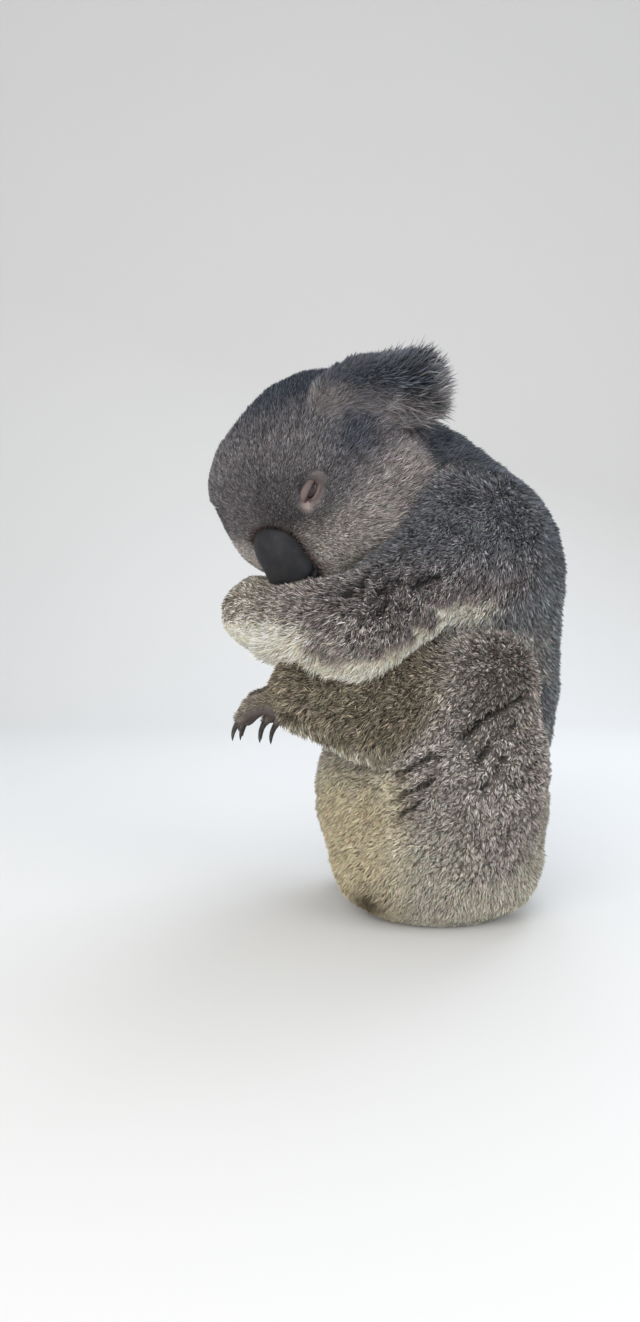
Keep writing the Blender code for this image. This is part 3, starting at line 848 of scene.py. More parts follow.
@dataclass(frozen=True)
class Folds:
    """Rows of short folds across the outer side of the left limbs, each a shallow arc.

    Places are (x, z) from a joint, because the folds are laid out square to the
    animal's side. Angles are degrees below level, running forwards.
    """

    joint: str
    start: tuple[float, float]
    rows: int
    step: tuple[float, float]
    length: float
    shrink: float
    fall: float
    fan: float
    bend: float
    depth: float
    width: float
    stretches: int = 4

    def paths(self, bones: Skeleton) -> list[list[tuple[float, float]]]:
        """Work out every row as an arc that steepens towards its fore end.

        Args:
            bones: The skeleton that the folds hang on.

        Returns:
            The corners of each fold, as (x, z) places.
        """
        base = bones.at(self.joint, "l")[[0, 2]] + self.start
        made = []
        for row in range(self.rows):
            x, z = base + np.array(self.step) * row
            stretch = self.length * self.shrink**row / self.stretches
            path = [(x, z)]
            for k in range(self.stretches):
                angle = math.radians(self.fall + self.fan * row + self.bend * k / self.stretches)
                x, z = x - stretch * math.cos(angle), z - stretch * math.sin(angle)
                path.append((x, z))
            made.append(path)
        return made

    def nearness(self, p: Array, n: Array, bones: Skeleton, spread: float = 1.0) -> tuple[Array, Array]:
        """How near points of the skin lie to a fold, and the way out from it.

        Args:
            p: Points of the skin.
            n: Outward normals there.
            bones: The skeleton.
            spread: How much wider than the fold itself to reach.

        Returns:
            1 in a fold falling to 0 beside it, and vectors away from it.
        """
        drift = [lumps(p, 0.013, seed) * 0.0030 + lumps(p, 0.0055, seed + 2) * 0.0012 for seed in (21, 22)]
        wander = np.stack(drift, axis=-1)
        outer = ramp(-0.10, -0.45, n[:, 1]) * ramp(-0.02, -0.04, p[:, 1])
        outer *= 0.35 + 0.65 * ramp(-0.70, -0.10, lumps(p, 0.014, 25))
        near, away = np.zeros(len(p)), np.zeros(p.shape)
        for path in self.paths(bones):
            gap, out = from_path(p[:, [0, 2]] + wander, path)
            share = np.exp(-((gap / (self.width * spread)) ** 2)) * outer
            nearer = share > near
            near[nearer] = share[nearer]
            away[nearer] = np.insert(out, 1, 0.0, axis=1)[nearer]
        return near, away


FOLDS = (
    Folds("knee", (0.020, -0.008), 3, (-0.004, -0.022), 0.056, 0.72, 32.0, 7.0, 18.0, 0.0058, 0.0028),
    Folds("knee", (-0.036, -0.052), 3, (-0.005, -0.017), 0.034, 0.80, 26.0, 9.0, 16.0, 0.0050, 0.0024),
    Folds("elbow", (0.058, 0.038), 3, (-0.027, -0.003), 0.018, 0.92, 14.0, 8.0, 14.0, 0.0040, 0.0026),
    Folds("elbow", (0.020, 0.020), 2, (-0.016, -0.018), 0.013, 0.90, 40.0, -12.0, 10.0, 0.0036, 0.0024),
    Folds("shoulder", (0.006, -0.012), 1, (0.0, 0.0), 0.034, 1.00, -38.0, 0.0, 6.0, 0.0022, 0.0034),
)


@dataclass
class Skin:
    """Meshes the one skin of the whole animal."""

    anatomy: Anatomy
    markings: Markings
    low: tuple = (-0.165, -0.150, -0.004)
    high: tuple = (0.150, 0.150, 0.446)
    seam: float = 0.0022      # how far neighbouring masses' shares run into each other
    calm: float = 0.004       # depth over which the flesh's swell fades in beside bare skin

    def grid_field(self, axes: list[Array]) -> Array:
        """Field of the joined skin on a grid, each mass worked out only in its own box.

        Args:
            axes: The grid's x, y and z places.

        Returns:
            Field values on the grid.
        """
        shape = tuple(len(a) for a in axes)
        grid = np.stack(np.meshgrid(*axes, indexing="ij"), axis=-1)
        own = {}
        for name, mass in self.anatomy.masses.items():
            cut = tuple(
                slice(*np.searchsorted(a, (c - r, c + r))) for a, c, r in zip(axes, mass.centre, mass.reach)
            )
            values = np.full(shape, FAR)
            values[cut] = np.minimum(mass.coat(grid[cut]) + mass.depth, FAR)
            own[name] = values
        return self.anatomy.joined(grid, own)

    def net(self) -> SkinNet:
        """Surface net of the skin, with the folds pressed in.

        Returns:
            The skin's arrays.
        """
        axes = [np.arange(a, b, SKIN_STEP) for a, b in zip(self.low, self.high)]
        vertices, quads = surface_net(self.grid_field(axes), np.array(self.low), SKIN_STEP)
        vertices, quads = smoothed(*largest_shell(vertices, quads))
        normals = vertex_normals(vertices, quads)
        sink = np.zeros(len(vertices))
        for folds in FOLDS:
            sink = np.maximum(sink, folds.depth * folds.nearness(vertices, normals, self.anatomy.bones)[0])
        vertices = vertices - normals * sink[:, None]
        own = self.anatomy.sunk(vertices)
        bare = [own[name] for name in own if kind_of(name) in ("head", "hand", "foot")]
        smooth = np.clip(np.minimum.reduce(bare), 0.0, self.calm)
        swell = 0.0011 * lumps(vertices, 0.011, 3) + 0.0007 * lumps(vertices, 0.0062, 4)
        swell = np.where(vertices[:, 2] < 0.012, 0.0, swell)
        vertices = vertices + normals * (swell * smooth / self.calm)[:, None]
        pull = {name: np.exp(-np.clip(value, -0.01, FAR) / self.seam) for name, value in own.items()}
        total = sum(pull.values())
        share = {name: value / total for name, value in pull.items()}
        return SkinNet(vertices, quads, vertex_normals(vertices, quads), share)


def surface_net(values: Array, origin: Array, step: float) -> tuple[Array, Array]:
    """Vertices and quads of a grid's zero surface by averaged cell crossings.

    Args:
        values: Field on a grid, negative inside.
        origin: Place of the grid's first corner.
        step: Grid spacing.

    Returns:
        Vertices, and quads whose faces point outwards.
    """
    inside = values < 0.0
    corner = np.array([(i, j, k) for i in (0, 1) for j in (0, 1) for k in (0, 1)])
    edges = [(a, b) for a in range(8) for b in range(a + 1, 8) if np.abs(corner[a] - corner[b]).sum() == 1]
    shape = np.array(values.shape) - 1

    def at_corner(array: Array, c: Array) -> Array:
        """The array as seen from one corner of every cell."""
        return array[c[0]:c[0] + shape[0], c[1]:c[1] + shape[1], c[2]:c[2] + shape[2]]

    filled = sum(at_corner(inside, c).astype(np.int8) for c in corner)
    used = (filled > 0) & (filled < 8)
    cells = np.argwhere(used)
    total, count = np.zeros((len(cells), 3)), np.zeros(len(cells))
    at_cells = [at_corner(values, c)[used] for c in corner]
    for a, b in edges:
        va, vb = at_cells[a], at_cells[b]
        crossed = (va < 0.0) != (vb < 0.0)
        share = np.where(crossed, va / np.where(crossed, va - vb, 1.0), 0.0)
        place = corner[a] + share[:, None] * (corner[b] - corner[a])
        total += np.where(crossed[:, None], place, 0.0)
        count += crossed
    index = np.full(tuple(shape), -1)
    index[used] = np.arange(len(cells))
    vertices = origin + step * (cells + total / count[:, None])

    quads = []
    for axis in range(3):
        u, v = (axis + 1) % 3, (axis + 2) % 3
        here = inside[1:-1, 1:-1, 1:-1]
        shift = [slice(1, -1)] * 3
        shift[axis] = slice(2, None)
        there = inside[tuple(shift)]
        step_u, step_v = np.eye(3, dtype=int)[u], np.eye(3, dtype=int)[v]
        for leaving in (True, False):
            found = np.argwhere(here & ~there if leaving else ~here & there) + 1
            ring = [found, found - step_u, found - step_u - step_v, found - step_v]
            if not leaving:
                ring.reverse()
            quads.append(np.stack([index[tuple(r.T)] for r in ring], axis=-1))
    return vertices, np.concatenate(quads)


def largest_shell(vertices: Array, quads: Array) -> tuple[Array, Array]:
    """Keep the biggest connected part of a net, dropping shells sealed inside it."""
    label = np.arange(len(vertices))
    while True:
        lowest = label[quads].min(axis=1)
        after = label.copy()
        for k in range(4):
            np.minimum.at(after, quads[:, k], lowest)
        after = after[after]
        if (after == label).all():
            break
        label = after
    names, counts = np.unique(label, return_counts=True)
    keep = label == names[counts.argmax()]
    new = np.cumsum(keep) - 1
    return vertices[keep], new[quads[keep[quads[:, 0]]]]


def relaxed(vertices: Array, quads: Array) -> Array:
    """Vertices moved half way to the middle of their neighbours, those on the floor only along it."""
    total, count = np.zeros_like(vertices), np.zeros(len(vertices))
    for a, b in ((0, 1), (1, 2), (2, 3), (3, 0)):
        np.add.at(total, quads[:, a], vertices[quads[:, b]])
        np.add.at(count, quads[:, a], 1.0)
    floor = vertices[:, 2] < FLOOR_LIFT + 0.3 * SKIN_STEP
    moved = 0.5 * vertices + 0.5 * total / count[:, None]
    moved[floor, 2] = vertices[floor, 2]
    return moved


def smoothed(vertices: Array, quads: Array) -> tuple[Array, Array]:
    """A net relaxed twice."""
    return relaxed(relaxed(vertices, quads), quads), quads


def vertex_normals(vertices: Array, quads: Array) -> Array:
    """Outward unit normals from the quads' diagonals."""
    a, b, c, d = (vertices[quads[:, k]] for k in range(4))
    faces = np.cross(c - a, d - b)
    total = np.zeros_like(vertices)
    for k in range(4):
        np.add.at(total, quads[:, k], faces)
    return unit(total)


def mesh_object(name: str, vertices: Array, faces: Array, smooth: bool = True) -> bpy.types.Object:
    """A linked object of a mesh whose faces all have the same number of corners.

    Args:
        name: Name of the object and of its mesh.
        vertices: Places.
        faces: Corner indices, one row a face.
        smooth: Whether its faces are shaded smooth.

    Returns:
        The object.
    """
    mesh = bpy.data.meshes.new(name)
    count, corners = faces.shape
    mesh.vertices.add(len(vertices))
    mesh.vertices.foreach_set("co", np.ascontiguousarray(vertices, dtype=np.float32).ravel())
    mesh.loops.add(count * corners)
    mesh.loops.foreach_set("vertex_index", np.ascontiguousarray(faces, dtype=np.int32).ravel())
    mesh.polygons.add(count)
    mesh.polygons.foreach_set("loop_start", np.arange(0, count * corners, corners, dtype=np.int32))
    mesh.polygons.foreach_set("use_smooth", np.full(count, smooth))
    mesh.update(calc_edges=True)
    mesh.validate()
    obj = bpy.data.objects.new(name, mesh)
    bpy.context.scene.collection.objects.link(obj)
    return obj


def paint(obj: bpy.types.Object, name: str, colours: Array) -> None:
    """Give a mesh a colour attribute on its vertices."""
    layer = obj.data.color_attributes.new(name, "FLOAT_COLOR", "POINT")
    rgba = np.ones((len(colours), 4), dtype=np.float32)
    rgba[:, :3] = colours
    layer.data.foreach_set("color", rgba.ravel())


# ------------------------------------------------------------------- finishes
@dataclass
class Graph:
    """A Principled material under construction, with short calls to add and link its nodes."""

    name: str

    def __post_init__(self) -> None:
        """Start the material."""
        self.material = bpy.data.materials.new(self.name)
        self.material.use_nodes = True
        self.tree = self.material.node_tree

    def fill(self, node: bpy.types.Node, **inputs: object) -> bpy.types.Node:
        """Set or link a node's sockets.

        Args:
            node: The node.
            inputs: Values or output sockets by socket name, with an underscore for each space.

        Returns:
            The node.
        """
        for key, value in inputs.items():
            socket = node.inputs[key.replace("_", " ")]
            if isinstance(value, Socket):
                self.tree.links.new(value, socket)
            else:
                socket.default_value = value
        return node

    def node(self, kind: str, **inputs: object) -> bpy.types.Node:
        """Add a shader node and fill its sockets."""
        return self.fill(self.tree.nodes.new(f"ShaderNode{kind}"), **inputs)

    def place(self) -> Socket:
        """Places in the object's own space."""
        return self.node("TexCoord").outputs["Object"]

    def noise(self, scale: float, detail: float = 2.0) -> Socket:
        """Noise fixed to the object."""
        return self.node("TexNoise", Vector=self.place(), Scale=scale, Detail=detail).outputs["Fac"]

    def drift(self, factor: Socket, tones: Sequence[Tone], spots: tuple) -> Socket:
        """Colour that runs from one tone to the other between two spots of a factor."""
        made = self.node("ValToRGB", Fac=factor)
        for element, tone, spot in zip(made.color_ramp.elements, tones, spots):
            element.position, element.color = spot, (*tone.array(), 1.0)
        return made.outputs["Color"]

    def streaked(self, factor: Socket, low: float, high: float) -> Socket:
        """The painted coat colour, made from low to high times as bright by a factor."""
        painted, made = self.node("Attribute"), self.node("VectorMath")
        painted.attribute_name, made.operation = "Coat", "SCALE"
        span = self.node("MapRange", Value=factor, To_Min=low, To_Max=high)
        self.fill(made, Vector=painted.outputs["Color"], Scale=span.outputs["Result"])
        return made.outputs["Vector"]

    def raised(self, height: Socket, strength: float, distance: float) -> Socket:
        """Normals bent by a height."""
        return self.node("Bump", Height=height, Strength=strength, Distance=distance).outputs["Normal"]

    def finished(self, **inputs: object) -> bpy.types.Material:
        """Fill the Principled shader and hand over the material."""
        self.fill(self.tree.nodes["Principled BSDF"], **inputs)
        return self.material


@dataclass(frozen=True)
class CoatFinish:
    """Matt hair whose colour is painted on each tuft, with finer streaks in it."""

    name: str
    streak_scale: float = 1500.0
    streak_low: float = 0.55
    streak_high: float = 1.45

    def material(self) -> bpy.types.Material:
        """Build the node material."""
        graph = Graph(self.name)
        colour = graph.streaked(graph.noise(self.streak_scale), self.streak_low, self.streak_high)
        return graph.finished(Base_Color=colour, Roughness=0.85, Specular_IOR_Level=0.15)


@dataclass(frozen=True)
class LeatherFinish:
    """Bare pebbled leather with fine cracks."""

    name: str
    colour: Tone
    light: Tone
    roughness: float
    grain_scale: float
    grain_height: float

    def material(self) -> bpy.types.Material:
        """Build the node material."""
        graph = Graph(self.name)
        colour = graph.drift(graph.noise(130.0, 4.0), (self.colour, self.light), (0.35, 0.75))
        cells = graph.node("TexVoronoi", Vector=graph.place(), Scale=self.grain_scale).outputs["Distance"]
        normal, rough = graph.raised(cells, 0.6, self.grain_height), self.roughness
        return graph.finished(Base_Color=colour, Normal=normal, Roughness=rough, Specular_IOR_Level=0.22)


@dataclass(frozen=True)
class SkinFinish:
    """The skin under the hair: the coat's markings in shade, and bare lids and pads."""

    name: str

    def material(self) -> bpy.types.Material:
        """Build the node material."""
        graph = Graph(self.name)
        noise = graph.noise(700.0, 3.0)
        colour, normal = graph.streaked(noise, 0.6, 1.3), graph.raised(noise, 0.5, 0.0006)
        return graph.finished(Base_Color=colour, Normal=normal, Roughness=0.8, Specular_IOR_Level=0.2)


@dataclass(frozen=True)
class GlossFinish:
    """A smooth hard or wet surface with a slight drift of colour."""

    name: str
    colour: Tone
    light: Tone
    roughness: float
    scale: float = 180.0

    def material(self) -> bpy.types.Material:
        """Build the node material."""
        graph = Graph(self.name)
        colour = graph.drift(graph.noise(self.scale), (self.colour, self.light), (0.4, 0.7))
        return graph.finished(Base_Color=colour, Roughness=self.roughness)


# ------------------------------------------------------------------- the coat
class Region(Enum):
    """The coat's pieces, each with the most tufts it may have.

    Four triangles a tuft keep every piece under 200,000 triangles.
    """

    FACE = ("coat_face", 46000)
    CROWN = ("coat_crown", 34000)
    EARS = ("coat_ears", 30000)
    BACK = ("coat_back", 47000)
    RUMP = ("coat_rump", 49000)
    ARM_L = ("coat_arm_l", 49000)
    ARM_R = ("coat_arm_r", 33000)
    LEG_L = ("coat_leg_l", 49000)
    LEG_R = ("coat_leg_r", 38000)


@dataclass(frozen=True)
class Lie:
    """How the hair grows on a mass.

    Home is the mass's Region, with {} for its side. Lengths and widths are metres,
    stand is the angle from the skin in degrees, density is tufts for each square
    millimetre, and clump and speckle run 0 to 1.
    """

    home: str
    length: float
    width: float
    stand: float
    density: float
    clump: float
    speckle: float


LIES = {
    "torso": Lie("BACK", 0.0086, 0.00052, 50.0, 1.30, 0.24, 0.44),
    "neck": Lie("BACK", 0.0090, 0.00054, 48.0, 1.40, 0.30, 0.34),
    "head": Lie("FACE", 0.0068, 0.00047, 44.0, 2.30, 0.20, 0.48),
    "ear": Lie("EARS", 0.0120, 0.00048, 38.0, 2.30, 0.22, 0.40),
    "thigh": Lie("LEG_{}", 0.0056, 0.00052, 62.0, 2.20, 0.65, 0.66),
    "shank": Lie("LEG_{}", 0.0070, 0.00052, 52.0, 2.00, 0.50, 0.60),
    "foot": Lie("LEG_{}", 0.0045, 0.00045, 26.0, 1.80, 0.20, 0.40),
    "upper_arm": Lie("ARM_{}", 0.0074, 0.00048, 48.0, 2.10, 0.38, 0.88),
    "forearm": Lie("ARM_{}", 0.0076, 0.00048, 46.0, 2.10, 0.34, 0.90),
    "hand": Lie("ARM_{}", 0.0050, 0.00045, 26.0, 1.80, 0.20, 0.35),
}


@dataclass
class Growth:
    """Hair settings at every vertex of the skin."""

    flow: Array
    length: Array
    width: Array
    stand: Array
    density: Array
    clump: Array
    speckle: Array
    colour: Array
    bare: Array
    region: Array


def scale(sums: dict[str, Array], where: Array, **changes: float) -> None:
    """Raise or lower hair settings by a share of themselves, as far as a field says."""
    for key, change in changes.items():
        sums[key] *= 1.0 + change * where


@dataclass
class Groom:
    """Combs the coat: where each hair points and how long and thick it is.

    In its methods p are points of the skin, n their outward normals, share how much
    each mass owns each point, and sums the hair settings, changed in place.
    """

    anatomy: Anatomy
    markings: Markings

    def flow(self, name: str, p: Array, n: Array) -> Array:
        """Direction the hair runs on one mass, before it is laid on the skin.

        Args:
            name: The mass.
            p: Points of the skin.
            n: Outward normals there.

        Returns:
            Vectors, one for each point.
        """
        at, head = self.anatomy.bones.at, self.anatomy.head
        kind, side = kind_of(name), name[-1]
        down = np.array((0.0, 0.0, -1.0))
        if kind == "torso":
            lean = np.array((-0.45, 0.0, -0.75))
            return down + ramp(0.20, 0.10, p[:, 2])[:, None] * (lean - down)
        if kind == "neck":
            return unit(p - np.array(head.centre)) + down * 0.6
        if kind == "head":
            return unit(p - head.world((0.085, 0.0, -0.012)))
        if kind == "ear":
            root = head.world(head.ear_frame(side)[0] * (0.75, 0.62, 0.55))
            if side == "r":
                return 0.9 * unit(p - root) + np.array((1.2, 0.5, -0.2))
            across, tall = head.ear_sweep(head.ear_local(p, side), side)
            fan = np.clip(tall / 0.03, -1.2, 0.7)[:, None] * np.array((0.0, 0.0, 0.62))
            swept = np.array((1.15, 0.0, -0.10)) + fan
            upright = ramp(-0.018, -0.034, across)[:, None] * np.array((-0.5, 0.0, 1.4))
            return 0.7 * unit(p - root) + swept + upright
        if kind == "upper_arm":
            return unit(at("elbow", side) - at("shoulder", side)) + 0.25 * down + np.zeros(p.shape)
        if kind == "forearm":
            return unit(at("wrist", side) - at("elbow", side)) + 0.45 * down + np.zeros(p.shape)
        if kind in ("hand", "foot"):
            return self.anatomy.paw(kind, side).axes[0] + np.zeros(p.shape)
        if kind == "thigh":
            return np.array((-0.75, 0.0, -0.62)) + np.zeros(p.shape)
        under = ramp(0.3, 0.9, -n[:, 2])[:, None]
        return np.array((-0.80, 0.0, -0.50)) + under * np.array((0.9, 0.0, -0.5))

    def grown(self, net: SkinNet) -> Growth:
        """Work out the coat at every vertex of the skin.

        Args:
            net: The skin.

        Returns:
            Its growth.
        """
        p, n, share, bones = net.vertices, net.normals, net.share, self.anatomy.bones
        flow = np.zeros(p.shape)
        sums = {key: np.zeros(len(p)) for key in ("length", "width", "stand", "density", "clump", "speckle")}
        for name, own in share.items():
            flow += own[:, None] * unit(self.flow(name, p, n))
            for key, total in sums.items():
                total += own * getattr(LIES[kind_of(name)], key)
        flow = flattened(flow, n)
        swirl = (0.55 * lumps(p, 0.013, 11) + 0.35 * lumps(p, 0.006, 12)) * (1.0 - 0.6 * share["head"])
        flow = turned(flow, np.cross(n, flow), swirl)
        self.vary_head(p, n, share, sums)
        self.vary_limbs(p, n, share, sums)
        scale(sums, lumps(p, 0.009, 13), length=0.16)
        colour = self.markings.colours(p, n, share)
        colour *= 1.0 + (0.10 * lumps(p, 0.021, 14) + 0.10 * lumps(p, 0.007, 15))[:, None]
        bare = self.bareness(p, n, share)
        scale(sums, bare, density=-1.0)
        for folds in FOLDS:
            strength = min(0.92, folds.depth / 0.0044)
            near = folds.nearness(p, n, bones)[0]
            beside, away = folds.nearness(p, n, bones, spread=2.0)
            flow = unit(flow + away * (1.5 * strength * beside)[:, None])
            scale(sums, near, density=-0.98 * strength)
            scale(sums, beside, length=-0.30 * strength, stand=-0.35 * strength)
            shade = folds.nearness(p, n, bones, spread=1.25)[0]
            colour *= 1.0 - 0.92 * strength * shade[:, None]
        return Growth(flow, **sums, colour=colour, bare=bare, region=self.regions(p, share))

    def bareness(self, p: Array, n: Array, share: dict[str, Array]) -> Array:
        """Where the skin has no hair: lids, under the nose, palms, soles and the seat.

        Args:
            p: Points of the skin.
            n: Outward normals there.
            share: How much each mass owns each point.

        Returns:
            1 where bare, 0 where haired.
        """
        head = self.anatomy.head
        q = head.local(p)
        bare = ramp(0.0004, -0.0010, head.nose(p))
        for sign in SIGNS:
            bare = np.maximum(bare, ramp(1.32, 1.12, head.lid_oval(q, sign)) * share["head"])
            duct = np.exp(-((head.from_duct(q, sign) / 0.0030) ** 2))
            bare = np.maximum(bare, 0.95 * duct * share["head"])
        for side in MIRROR:
            for kind in ("hand", "foot"):
                own = share[f"{kind}_{side}"] * ramp(-0.2, -0.5, n @ self.anatomy.paw(kind, side).axes[2])
                bare = np.maximum(bare, np.clip(1.3 * own, 0.0, 1.0))
        return np.maximum(bare, 0.9 * (n[:, 2] < -0.9) * (p[:, 2] < 0.006))

    def vary_head(self, p: Array, n: Array, share: dict[str, Array], sums: dict[str, Array]) -> None:
        """Short hair on the muzzle and round the eyes, a longer ruff behind the cheek."""
        head, on_head = self.anatomy.head, share["head"]
        q = head.local(p)
        face = ramp(0.015, 0.060, q[:, 0]) * on_head
        scale(sums, face, length=-0.40, width=-0.30, stand=-0.30, density=0.45, clump=-0.6)
        for s in SIGNS:
            ruff = bump(q, (0.000, s * 0.078, -0.030), (0.035, 0.04, 0.040)) * on_head
            scale(sums, ruff, length=0.45, stand=0.20)
            near = bump(q, head.by_eye(s, 0.005, 0.008, 0.001), (0.016,) * 3) * on_head
            scale(sums, near, length=-0.42, density=0.4)
        for side in MIRROR:
            e, own = head.ear_local(p, side), share[f"ear_{side}"]
            outward = ramp(0.35, 1.0, head.ear_rim(e)) * own
            far_end = ramp(0.000, 0.036, head.ear_sweep(e, side)[0]) * own * (1.75 if side == "l" else 0.5)
            tuft = np.clip(far_end, 0.0, 1.0)
            sums["length"] *= 1.0 + far_end - 0.35 * outward * (1.0 - tuft)
            scale(sums, tuft, clump=-0.6)
        under = ramp(0.15, 0.7, -n[:, 2]) * ramp(0.060, 0.040, q[:, 0]) * on_head
        scale(sums, under, length=1.3)

    def vary_limbs(self, p: Array, n: Array, share: dict[str, Array], sums: dict[str, Array]) -> None:
        """Long fringes under the arms and shanks, thin hair inside, short hair at wrist and seat."""
        down, (x, y, z) = -n[:, 2], p.T
        for side in MIRROR:
            arm = share[f"forearm_{side}"] + share[f"upper_arm_{side}"]
            fringe = arm * ramp(0.10, 0.60, down) * ramp(0.10, -0.02, x)
            hanging = ramp(-0.040, -0.070, x) * ramp(-0.128, -0.104, x)
            sums["length"] *= 1.0 + 1.2 * hanging * fringe
            scale(sums, fringe, stand=-0.25, clump=-0.5, speckle=-0.80)
            scale(sums, share[f"shank_{side}"] * ramp(0.3, 0.9, down), length=0.7)
            inner = sum(share[f"{kind}_{side}"] for kind in LIMBS)
            scale(sums, inner * ramp(-0.1, -0.7, n[:, 1] * MIRROR[side]), density=-0.5, width=0.3)
        scale(sums, ramp(0.02, -0.05, y), density=0.35)
        wrist = (share["forearm_l"] + share["hand_l"]) * ramp(-0.095, -0.125, x)
        scale(sums, wrist, length=-0.40, stand=-0.40)
        scale(sums, ramp(0.02, 0.006, z), length=-0.45)
        scale(sums, ramp(0.15, 0.11, z) * share["torso"], length=-0.25, density=0.40)
        scale(sums, ramp(0.25, 0.30, z) * (1.0 - share["head"]), speckle=-0.40)
        scale(sums, ramp(0.13, 0.08, z), speckle=-0.45)

    def regions(self, p: Array, share: dict[str, Array]) -> Array:
        """Which coat piece each vertex belongs to, as an index into Region."""
        order = list(Region)
        owner = np.stack(list(share.values())).argmax(axis=0)
        result = np.zeros(len(p), dtype=int)
        for i, name in enumerate(share):
            home = LIES[kind_of(name)].home.format(name[-1].upper())
            result[owner == i] = order.index(Region[home])
        low, behind = p[:, 2] < 0.165, self.anatomy.head.local(p)[:, 0] < 0.018
        for whole, part, where in ((Region.BACK, Region.RUMP, low), (Region.FACE, Region.CROWN, behind)):
            result[(result == order.index(whole)) & where] = order.index(part)
        return result


@dataclass
class Coat:
    """Plants the tufts: joined meshes of slim closed locks, one piece a region."""

    net: SkinNet
    growth: Growth
    finish: bpy.types.Material
    seed: int = 7
    sink: float = 0.0006      # how far a tuft's root lies under the skin
    bend: float = 0.38        # share of a tuft's length below its bend
    floor: float = 0.0004     # no tuft reaches lower than this
    patch: float = 0.003      # side of a tuft's patch on the bake map
    thin: float = 1.0         # share of the tufts that are planted

    def plant(self) -> list[bpy.types.Object]:
        """Make every coat piece.

        Returns:
            The pieces, dressed.
        """
        made = []
        regions = self.growth.region[self.net.quads].max(axis=1)
        for i, region in enumerate(Region):
            rng = np.random.default_rng(self.seed + i)
            piece = self.piece(region, np.flatnonzero(regions == i), rng)
            piece.data.materials.append(self.finish)
            made.append(piece)
        return made

    def roots(self, quads: Array, most: int, rng: Rng) -> tuple[Array, Array]:
        """Spread roots over quads by area and density.

        Args:
            quads: Indices of the region's quads.
            most: How many roots there may be.
            rng: Seeded random numbers.

        Returns:
            For each root its quad's index, and its bilinear weights on the corners.
        """
        own = self.net.quads[quads]
        a, b, c, d = np.moveaxis(self.net.vertices[own], 1, 0)
        area = np.linalg.norm(np.cross(c - a, d - b), axis=1) / 2
        expected = area * 1e6 * self.growth.density[own].mean(axis=1) * self.thin
        expected *= min(1.0, most * self.thin / max(expected.sum(), 1.0))
        chosen = np.repeat(quads, np.floor(expected + rng.random(len(quads))).astype(int))
        u, v = rng.random((2, len(chosen)))
        return chosen, np.stack([(1 - u) * (1 - v), u * (1 - v), u * v, (1 - u) * v], axis=1)

    def sampled(self, values: Array, chosen: Array, weights: Array) -> Array:
        """Vertex values at the roots."""
        at = values[self.net.quads[chosen]]
        if at.ndim == 2:
            return (at * weights).sum(axis=1)
        return (at * weights[:, :, None]).sum(axis=1)

    def piece(self, region: Region, quads: Array, rng: Rng) -> bpy.types.Object:
        """All tufts of one region as one mesh.

        Args:
            region: The region.
            quads: Indices of its quads.
            rng: Seeded random numbers.

        Returns:
            The mesh object, with its colours and its bake map.
        """
        name, most = region.value
        chosen, weights = self.roots(quads, most, rng)
        take = partial(self.sampled, chosen=chosen, weights=weights)
        g, count = self.growth, len(chosen)
        root, normal, flow = take(self.net.vertices), unit(take(self.net.normals)), unit(take(g.flow))
        flow = flattened(flow, normal)
        length = take(g.length) * rng.uniform(0.72, 1.22, count)
        width = take(g.width) * rng.uniform(0.7, 1.3, count)
        stand = np.radians(take(g.stand) * rng.uniform(0.65, 1.4, count))
        turn = rng.normal(0.0, 0.22 + 0.85 * take(g.clump), count)
        heading = turned(flow, np.cross(normal, flow), turn)
        middle = root + turned(heading, normal, stand * 1.25) * (self.bend * length)[:, None]
        tip = middle + turned(heading, normal, stand * 0.7) * ((1.0 - self.bend) * length)[:, None]
        clump, pull = self.clumps(root, tip, take(g.clump), rng)
        tip, middle = tip + pull, middle + 0.30 * pull
        start = root - normal * self.sink
        across = unit(np.cross(tip - start, normal))
        over = unit(np.cross(across, tip - start))
        arch = ((middle - start) * over).sum(axis=1)
        middle = middle + over * np.maximum(0.25 * width - arch, 0.0)[:, None]
        half = across * width[:, None] * 0.5
        points = np.stack([start, middle - half, middle + half, tip], axis=1)
        points[:, :, 2] = np.maximum(points[:, :, 2], self.floor)
        faces = np.array([(0, 2, 1), (3, 1, 2), (0, 1, 3), (0, 3, 2)])
        all_faces = (np.arange(count)[:, None, None] * 4 + faces).reshape(-1, 3)
        obj = mesh_object(name, points.reshape(-1, 3), all_faces, smooth=False)
        paint(obj, "Coat", self.tinted(take(g.colour), take(g.speckle), clump, rng))
        self.bake_map(obj, root, normal)
        LOG.info("%s: %d tufts, %d triangles", name, count, len(all_faces))
        return obj

    def clumps(self, root: Array, tip: Array, amount: Array, rng: Rng) -> tuple[Array, Array]:
        """Draw tips together into locks.

        Args:
            root: Roots of the tufts.
            tip: Their tips.
            amount: How strongly each is drawn, 0 to 1.
            rng: Seeded random numbers.

        Returns:
            Each tuft's clump number, and how far its tip moves.
        """
        leaders = rng.choice(len(root), max(1, len(root) // 10), replace=False)
        tree = KDTree(len(leaders))
        for i, leader in enumerate(leaders):
            tree.insert(root[leader], i)
        tree.balance()
        nearest = np.array([tree.find(place)[1] for place in root])
        target = tip[leaders[nearest]]
        return nearest, (target - tip) * (amount * rng.uniform(0.6, 1.0, len(root)))[:, None]

